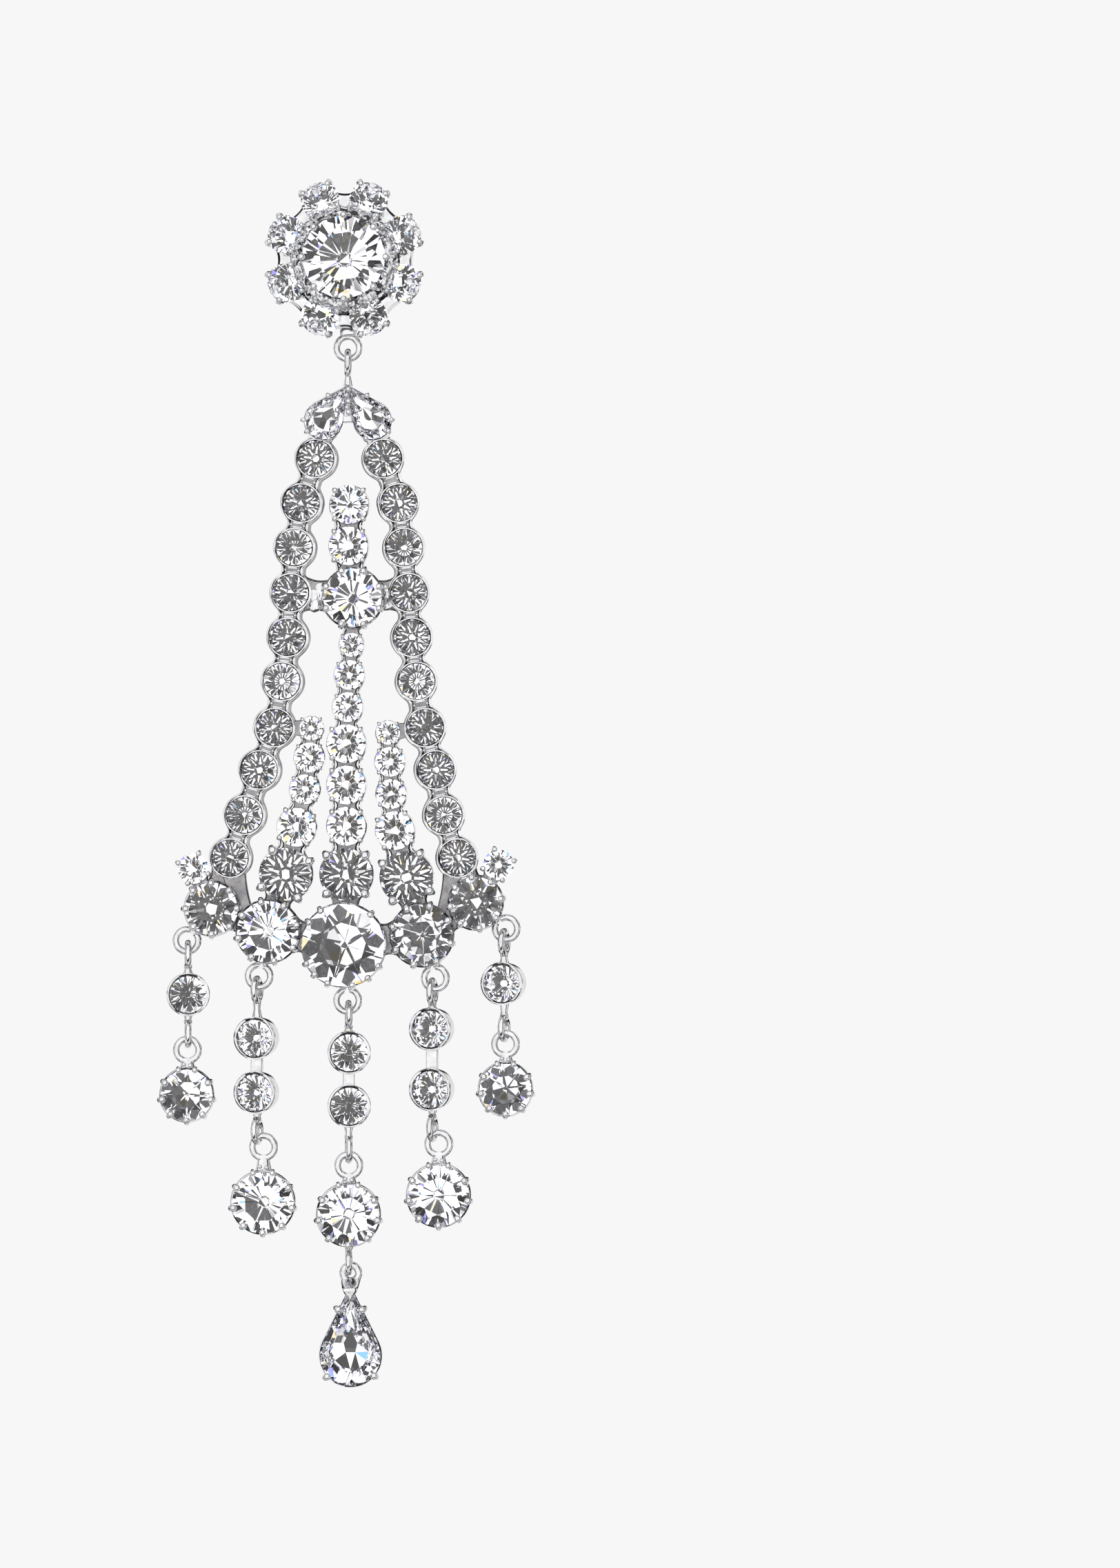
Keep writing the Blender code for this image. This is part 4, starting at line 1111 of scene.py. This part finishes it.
def edge_ring(turn, z):
    """Where a ring seen edge-on lies, at a height in a turned plane."""
    return turn @ Matrix.Translation((0, 0, z)) @ Matrix.Rotation(math.radians(90), 4, "Y")


print(len(STRANDS), "strands with", sum(row["stones"] for row in STRANDS), "link stones")

# %% [markdown]
# ## The links
# A link's cups, rings and the necks between them are soldered in one plane, and the whole link hangs a
# little turned. So its pieces are placed in a flat frame of their own, which is then turned.

# %% Strand links
for row in STRANDS:
    name, node = row["name"], f"{row['name']}_link"
    low, high = corners(node)
    wall, depth = LINK_STONE / 2 + BEZEL_RIM, cup_depth(LINK_STONE)
    # The node's rings lie in the turned plane, so its sides are even about the ring's middle
    top_ring, low_ring = high.z - RING_WIDTH / 2, low.z + RING_WIDTH / 2
    middle = Matrix.Translation(((low.x + high.x) / 2, HANG_Y, 0))
    turn = middle @ Matrix.Rotation(math.radians(-row["turn"]), 4, "Z")
    heights = [top_ring - RING_RADIUS - row["top_neck"] - wall]
    for _ in range(row["stones"] - 1):
        heights.append(heights[-1] - 2 * wall - row["stone_gap"])
    seats = [turn @ seat_at(0, LINK_BACK - depth, z) for z in heights]

    def build_link(shape):
        for seat in seats:
            tube_cup(shape, seat, LINK_STONE)
        for z in (top_ring, low_ring):
            wire_ring(shape, edge_ring(turn, z))
        for start, end, sign in ((top_ring - RING_RADIUS, heights[0] + wall, -1),
                                 (low_ring + RING_RADIUS, heights[-1] - wall, 1)):
            bent(shape, [(0, 0, start), (0, 0, (start + end) / 2), (0, 0.0001, end + sign * 0.0003)],
                 [0.00042, 0.00034, 0.00055], turn, sides=12)
            ball(shape, (0, 0, start + sign * 0.0001), 0.00042, turn)
        if len(heights) > 1:
            tie = heights[0] - heights[1] - 2 * wall + 0.0006
            slab(shape, (0.00115, 0.0008, tie), turn @ Matrix.Translation((0, 0, sum(heights) / 2)), 0.0001)

    metal_piece(f"{name}_link_metal", build_link, "drop", [node])
    for k, seat in enumerate(seats):
        set_stone(f"{name}_link_crystal_{k + 1}", "rayed", LINK_STONE, seat, "drop")
print("links done, with", len(made_pieces), "pieces so far")

# %% [markdown]
# ## Rings at the foot, and the drops
# A face-on ring is soldered under each cup of the foot, and another tops each drop. The joint is a
# cone of solder that widens towards the cup, with a few beads, since it is filled by hand. The drops
# have claws all round, closer together under the ring.

# %% Rings with their solder
# Beads of a joint: how far aside, how far back from its end, and the radius
JOINT_BEADS = [(-0.00062, 0.00018, 0.00030), (0.00058, 0.00026, 0.00026), (0.00010, 0.0003, 0.00034),
               (-0.00030, 0.0007, 0.00028), (0.00034, 0.0008, 0.00024)]
CARRIERS = {"strand_1": "corner_left", "strand_2": "flank_left", "strand_3": "foot",
            "strand_4": "flank_right", "strand_5": "corner_right"}


def soldered_ring(shape, x, z, toward, gap):
    """A front-facing ring, with the solder that joins it to a cup that starts a gap away."""
    wire_ring(shape, Matrix.Translation((x, HANG_Y, z)) @ FACE_FRONT)
    turn = Matrix.Translation((x, HANG_Y, z)) @ Matrix.Rotation(math.atan2(toward.x, toward.z), 4, "Y")
    start, end = RING_WIDTH / 2 - WIRE, RING_WIDTH / 2 + gap + 0.0004
    flat = turn @ Matrix.Diagonal((1, 0.6, 1, 1))
    path = [(0, 0, start), (0, 0, (start + end) / 2), (0, 0, end)]
    bent(shape, path, [0.00050, 0.00068, 0.00092], flat, sides=16)
    for aside, reach, radius in JOINT_BEADS:
        ball(shape, (aside, -0.0003, end - reach), radius, turn)


def build_frame_rings(shape):
    for row in STRANDS:
        low, high = corners(f"{row['name']}_link")
        x = (low.x + high.x) / 2 - row["link_side"]
        z = high.z - RING_WIDTH / 2 + 2 * RING_RADIUS - LINK_STEP
        spot = PLACES[CARRIERS[row["name"]]][0]
        toward = Vector((spot.x - x, 0, spot.y - z)).normalized()
        soldered_ring(shape, x, z, toward, 0.0002)


metal_piece("foot_rings", build_frame_rings, "drop")
print("rings of the foot done")

# %% The drops
DROP_CLAWS = [k * 40.0 - 90 for k in range(9)]
DROP_PATTERNS = {"strand_1": "kites", "strand_2": "pinwheel", "strand_3": "pinwheel",
                 "strand_4": "pinwheel", "strand_5": "kites"}

for row in STRANDS:
    name = row["name"]
    node, stone = f"{name}_drop_setting", f"{name}_drop_stone"
    seat, width = seat_of(stone)
    x, stone_z = seat.translation.x, seat.translation.z
    ring_z = corners(node)[1].z - RING_WIDTH / 2 - 0.0001
    # The middle drop has a second ring, seen edge-on, which carries the pear
    low_z = corners(node)[0].z + RING_WIDTH / 2 if name == "strand_3" else None

    def build_drop(shape):
        cup(shape, seat, width + 0.0006, wall=0.00030, deeper=0.0003)
        for angle in DROP_CLAWS:
            if not 60 < angle % 360 < 120:
                claw(shape, seat, width - 0.00035, angle, 0.00056, 0.00036, rise=0.0005)
        for angle in (72, 108):
            claw(shape, seat, width, angle, 0.00040, 0.00030, rise=0.0004)
        soldered_ring(shape, x, ring_z, Vector((0, 0, -1)), ring_z - RING_WIDTH / 2 - stone_z - width / 2)
        if low_z is not None:
            wire_ring(shape, edge_ring(Matrix.Translation((x, HANG_Y, 0)), low_z))
            ball(shape, (x, HANG_Y, low_z + RING_WIDTH / 2), 0.00045)

    metal_piece(f"{name}_drop_metal", build_drop, "drop", [node])
    set_stone(f"{name}_drop_crystal", DROP_PATTERNS[name], width, seat, "drop", [stone])
print("drops done, with", len(made_pieces), "pieces so far")

# %% [markdown]
# ## The pear drop
# The lowest drop is a pear in a wall of its own outline, with four claws. Its ring is soldered to a tab
# that comes forward over the stone's tip. The tab is a loft down the tip, whose rows narrow to a point.

# %% The pear drop
PEAR_WIDTH, PEAR_LENGTH, TAB_WIDTH, TAB_WIRE = 0.0061, 0.0100, 0.0023, 0.00074
PEAR_CLAW, PEAR_CLAW_BALL = 0.00056, 0.00038
# Rows of the tab: how far under the ring's middle, half its width, and how far it has come forward
TAB_ROWS = [(0.00050, 0.00100, 0.0), (0.0008, 0.00094, 0.25), (0.0010, 0.00088, 0.6), (0.0013, 0.00080, 0.95),
            (0.0016, 0.00070, 1.0), (0.0019, 0.00054, 0.95), (0.0022, 0.00034, 0.85), (0.0024, 0.00008, 0.8)]
low, high = corners("pear_drop_stone")
PEAR_SEAT = seat_at((low.x + high.x) / 2, high.y - PEAR_WIDTH * PAVILION_SHARE, low.z + PEAR_WIDTH / 2)
TAB_Z = corners("pear_drop_setting")[1].z - TAB_WIDTH / 2


def build_tab(shape):
    x = PEAR_SEAT.translation.x
    front = PEAR_SEAT.translation.y - 0.0013
    wire_ring(shape, Matrix.Translation((x, HANG_Y, TAB_Z)) @ FACE_FRONT, TAB_WIDTH, TAB_WIRE)
    flat = Matrix.Translation((x, 0, 0))
    rows = []
    for down, half, depth in TAB_ROWS:
        y = HANG_Y + (front - HANG_Y) * depth
        rows.append([flat @ Vector((half * math.cos(a), y + 0.00034 * math.sin(a), TAB_Z - down))
                     for a in (2 * math.pi * k / 24 for k in range(24))])
    loft(shape, rows)


def build_pear_drop(shape):
    pear_wall(shape, PEAR_SEAT, PEAR_WIDTH, PEAR_LENGTH, wall=0.00018)
    build_tab(shape)
    for side in (-1, 1):
        pear_claw(shape, PEAR_SEAT, PEAR_WIDTH, PEAR_LENGTH, 0.66, side, thick=PEAR_CLAW, tip=PEAR_CLAW_BALL)
    for angle in (-40, 222):
        claw(shape, PEAR_SEAT, PEAR_WIDTH, angle, PEAR_CLAW, PEAR_CLAW_BALL)


metal_piece("pear_drop_metal", build_pear_drop, "drop", ["pear_drop_setting"])
stone_piece("pear_drop_crystal", pear_cut(PEAR_WIDTH, PEAR_LENGTH), PEAR_SEAT, "drop", ["pear_drop_stone"])
print(len(made_pieces), "pieces made")

# %% [markdown]
# ## Studio
# The jewel hangs before white paper. Polished metal and foil only look bright and dark by turns when
# the room does, so the world is a white tent with black cards in front, as a jewel photographer sets it.

# %% Paper
PAPER = linear("#F7F7F7")


FIBRE = 0.0025


def make_paper():
    """Lit paper: it glows evenly by itself, so that no shade falls on it."""
    finish, tree, shader = new_finish("white_paper")
    where = add_node(tree, "ShaderNodeTexCoord")
    fibre = add_node(tree, "ShaderNodeTexNoise", values={"Scale": 1 / FIBRE},
                     links={"Vector": where.outputs["Object"]})
    bump = add_node(tree, "ShaderNodeBump", values={"Strength": 0.05, "Distance": 0.0001},
                    links={"Height": fibre.outputs["Fac"]})
    shader.inputs["Base Color"].default_value = (0.0, 0.0, 0.0, 1.0)
    shader.inputs["Roughness"].default_value = 1.0
    shader.inputs["Specular IOR Level"].default_value = 0.0
    shader.inputs["Emission Color"].default_value = PAPER
    shader.inputs["Emission Strength"].default_value = 1.0
    tree.links.new(bump.outputs["Normal"], shader.inputs["Normal"])
    return finish


FLOOR_Z = CAD_BOX[0][2] - 0.030
floor_mesh = bpy.data.meshes.new("floor")
shape = bmesh.new()
bmesh.ops.create_circle(shape, cap_ends=True, radius=3.0, segments=64)
shape.to_mesh(floor_mesh)
shape.free()
floor_mesh.materials.append(make_paper())
floor = bpy.data.objects.new("floor", floor_mesh)
floor.location.z = FLOOR_Z
bpy.context.scene.collection.objects.link(floor)
floor.visible_glossy = floor.visible_transmission = False
print("floor at z", round(FLOOR_Z * 1000, 1), "mm")

# %% [markdown]
# ## The tent
# Stones and metal look best in different light, and in a picture each can have its own: light that
# went through the crystal sees one set of white and black rings, and a plain reflection sees another.
# The world is those two sets, each drawn as a colour ramp over the angle from an axis.

# %% The bands of light and dark
# By angle in degrees from the axis
STONE_BANDS = [
    {"angle": 0.0, "light": 1.30}, {"angle": 4.0, "light": 1.30}, {"angle": 5.0, "light": 0.08},
    {"angle": 13.0, "light": 0.08}, {"angle": 14.0, "light": 0.14}, {"angle": 21.0, "light": 0.14},
    {"angle": 22.0, "light": 1.50}, {"angle": 37.0, "light": 1.50}, {"angle": 38.0, "light": 0.05},
    {"angle": 47.0, "light": 0.05}, {"angle": 49.0, "light": 1.40}, {"angle": 66.0, "light": 1.40},
    {"angle": 69.0, "light": 0.12}, {"angle": 84.0, "light": 0.12}, {"angle": 90.0, "light": 0.95},
]
METAL_BANDS = [
    {"angle": 0.0, "light": 1.20}, {"angle": 57.0, "light": 1.20}, {"angle": 64.0, "light": 0.08},
    {"angle": 80.0, "light": 0.08}, {"angle": 88.0, "light": 1.05}, {"angle": 110.0, "light": 1.05},
    {"angle": 118.0, "light": 0.03}, {"angle": 139.0, "light": 0.03}, {"angle": 146.0, "light": 0.90},
]
STONE_AXIS, METAL_AXIS = (0.0, -1.0, 0.0), (-0.22, -0.90, 0.38)
# Faint colours that the crystal spreads, and their places on a noise
GELS = [(0.0, "#8FCBF2"), (0.25, "#8FCBF2"), (0.26, "#A9A4F2"), (0.29, "#A9A4F2"), (0.31, "#FFFFFF"),
        (0.77, "#FFFFFF"), (0.79, "#FFE9B8")]

print(len(STONE_BANDS), "stops for the stones and", len(METAL_BANDS), "for the metal")

# %% The world
world = bpy.data.worlds.new("tent")
bpy.context.scene.world = world
world.use_nodes = True
tree = world.node_tree
tree.nodes.clear()
where = add_node(tree, "ShaderNodeTexCoord")


def room(bands, axis, wobble, scale):
    """Rings of light and dark about an axis, whose edges wander by wobble degrees."""
    towards = add_node(tree, "ShaderNodeVectorMath", {"operation": "DOT_PRODUCT"},
                       {1: Vector(axis).normalized()}, {0: where.outputs["Generated"]})
    angle = add_node(tree, "ShaderNodeMath", {"operation": "ARCCOSINE"}, links={0: towards.outputs["Value"]})
    noise = add_node(tree, "ShaderNodeTexNoise", values={"Scale": scale, "Detail": 1.0},
                     links={"Vector": where.outputs["Generated"]})
    off = add_node(tree, "ShaderNodeMath", {"operation": "MULTIPLY_ADD"},
                   {1: math.radians(wobble) * 2, 2: -math.radians(wobble)}, {0: noise.outputs["Fac"]})
    moved = add_node(tree, "ShaderNodeMath", {"operation": "ADD"},
                     links={0: angle.outputs[0], 1: off.outputs[0]})
    share = add_node(tree, "ShaderNodeMath", {"operation": "DIVIDE"}, {1: math.pi}, {0: moved.outputs[0]})
    light = add_node(tree, "ShaderNodeValToRGB", links={"Fac": share.outputs[0]})
    fill_ramp(light.color_ramp, [(band["angle"] / 180, (*[band["light"]] * 3, 1.0)) for band in bands])
    return light.outputs["Color"]


gels = add_node(tree, "ShaderNodeTexNoise", values={"Scale": 3.4, "Detail": 0.0},
                links={"Vector": where.outputs["Generated"]})
gel_colours = add_node(tree, "ShaderNodeValToRGB", links={"Fac": gels.outputs["Fac"]})
fill_ramp(gel_colours.color_ramp, [(position, linear(colour)) for position, colour in GELS])
tinted = add_node(tree, "ShaderNodeMix", {"data_type": "RGBA", "blend_type": "MULTIPLY"}, {"Factor": 1.0})
tree.links.new(room(STONE_BANDS, STONE_AXIS, 4, 2.2), tinted.inputs["A"])
tree.links.new(gel_colours.outputs["Color"], tinted.inputs["B"])
light_path = add_node(tree, "ShaderNodeLightPath")
reflected = add_node(tree, "ShaderNodeMix", {"data_type": "RGBA"},
                     links={"Factor": light_path.outputs["Is Transmission Ray"]})
tree.links.new(room(METAL_BANDS, METAL_AXIS, 30, 2.3), reflected.inputs["A"])
tree.links.new(tinted.outputs["Result"], reflected.inputs["B"])
paper = add_node(tree, "ShaderNodeRGB")
paper.outputs[0].default_value = PAPER
seen = add_node(tree, "ShaderNodeMix", {"data_type": "RGBA"},
                links={"Factor": light_path.outputs["Is Camera Ray"]})
tree.links.new(reflected.outputs["Result"], seen.inputs["A"])
tree.links.new(paper.outputs["Color"], seen.inputs["B"])
background = add_node(tree, "ShaderNodeBackground", links={"Color": seen.outputs["Result"]})
add_node(tree, "ShaderNodeOutputWorld", links={"Surface": background.outputs["Background"]})
print("the tent has", len(tree.nodes), "nodes")

# %% [markdown]
# ## The camera
# A jewel is photographed from afar with a long lens, so that all of its stones face the camera. The
# scale of the picture is known from the stones' stock sizes, and gives the distance and the place.

# %% Camera
PHOTO_WIDTH, PHOTO_HEIGHT = 1624, 2274
PX_PER_M = 14500
# Where the middle of the stud lies in the picture
STUD_X_PX, STUD_Y_PX = 500.3, 377.7
LENS = 150
camera_data = bpy.data.cameras.new("camera")
camera_data.lens = LENS
camera = bpy.data.objects.new("camera", camera_data)
bpy.context.scene.collection.objects.link(camera)
view_height = PHOTO_HEIGHT / PX_PER_M
distance = view_height * LENS / camera_data.sensor_width
camera.location = ((PHOTO_WIDTH / 2 - STUD_X_PX) / PX_PER_M, HANG_Y - distance,
                   (STUD_Y_PX - PHOTO_HEIGHT / 2) / PX_PER_M)
camera.rotation_euler = (math.radians(90), 0, 0)
bpy.context.scene.camera = camera

print("camera", round(distance, 2), "m away")

# %% [markdown]
# ## How light is followed
# A ray enters a stone, meets the foil two or three times and leaves again, often into the next stone,
# so the stones need many bounces to look bright and clear.

# %% Light paths
scene = bpy.context.scene
scene.cycles.max_bounces = 24
scene.cycles.glossy_bounces = 12
scene.cycles.transmission_bounces = 16
scene.cycles.transparent_max_bounces = 8
scene.cycles.sample_clamp_indirect = 0.0
scene.cycles.use_denoising = True
scene.view_settings.view_transform = "Standard"
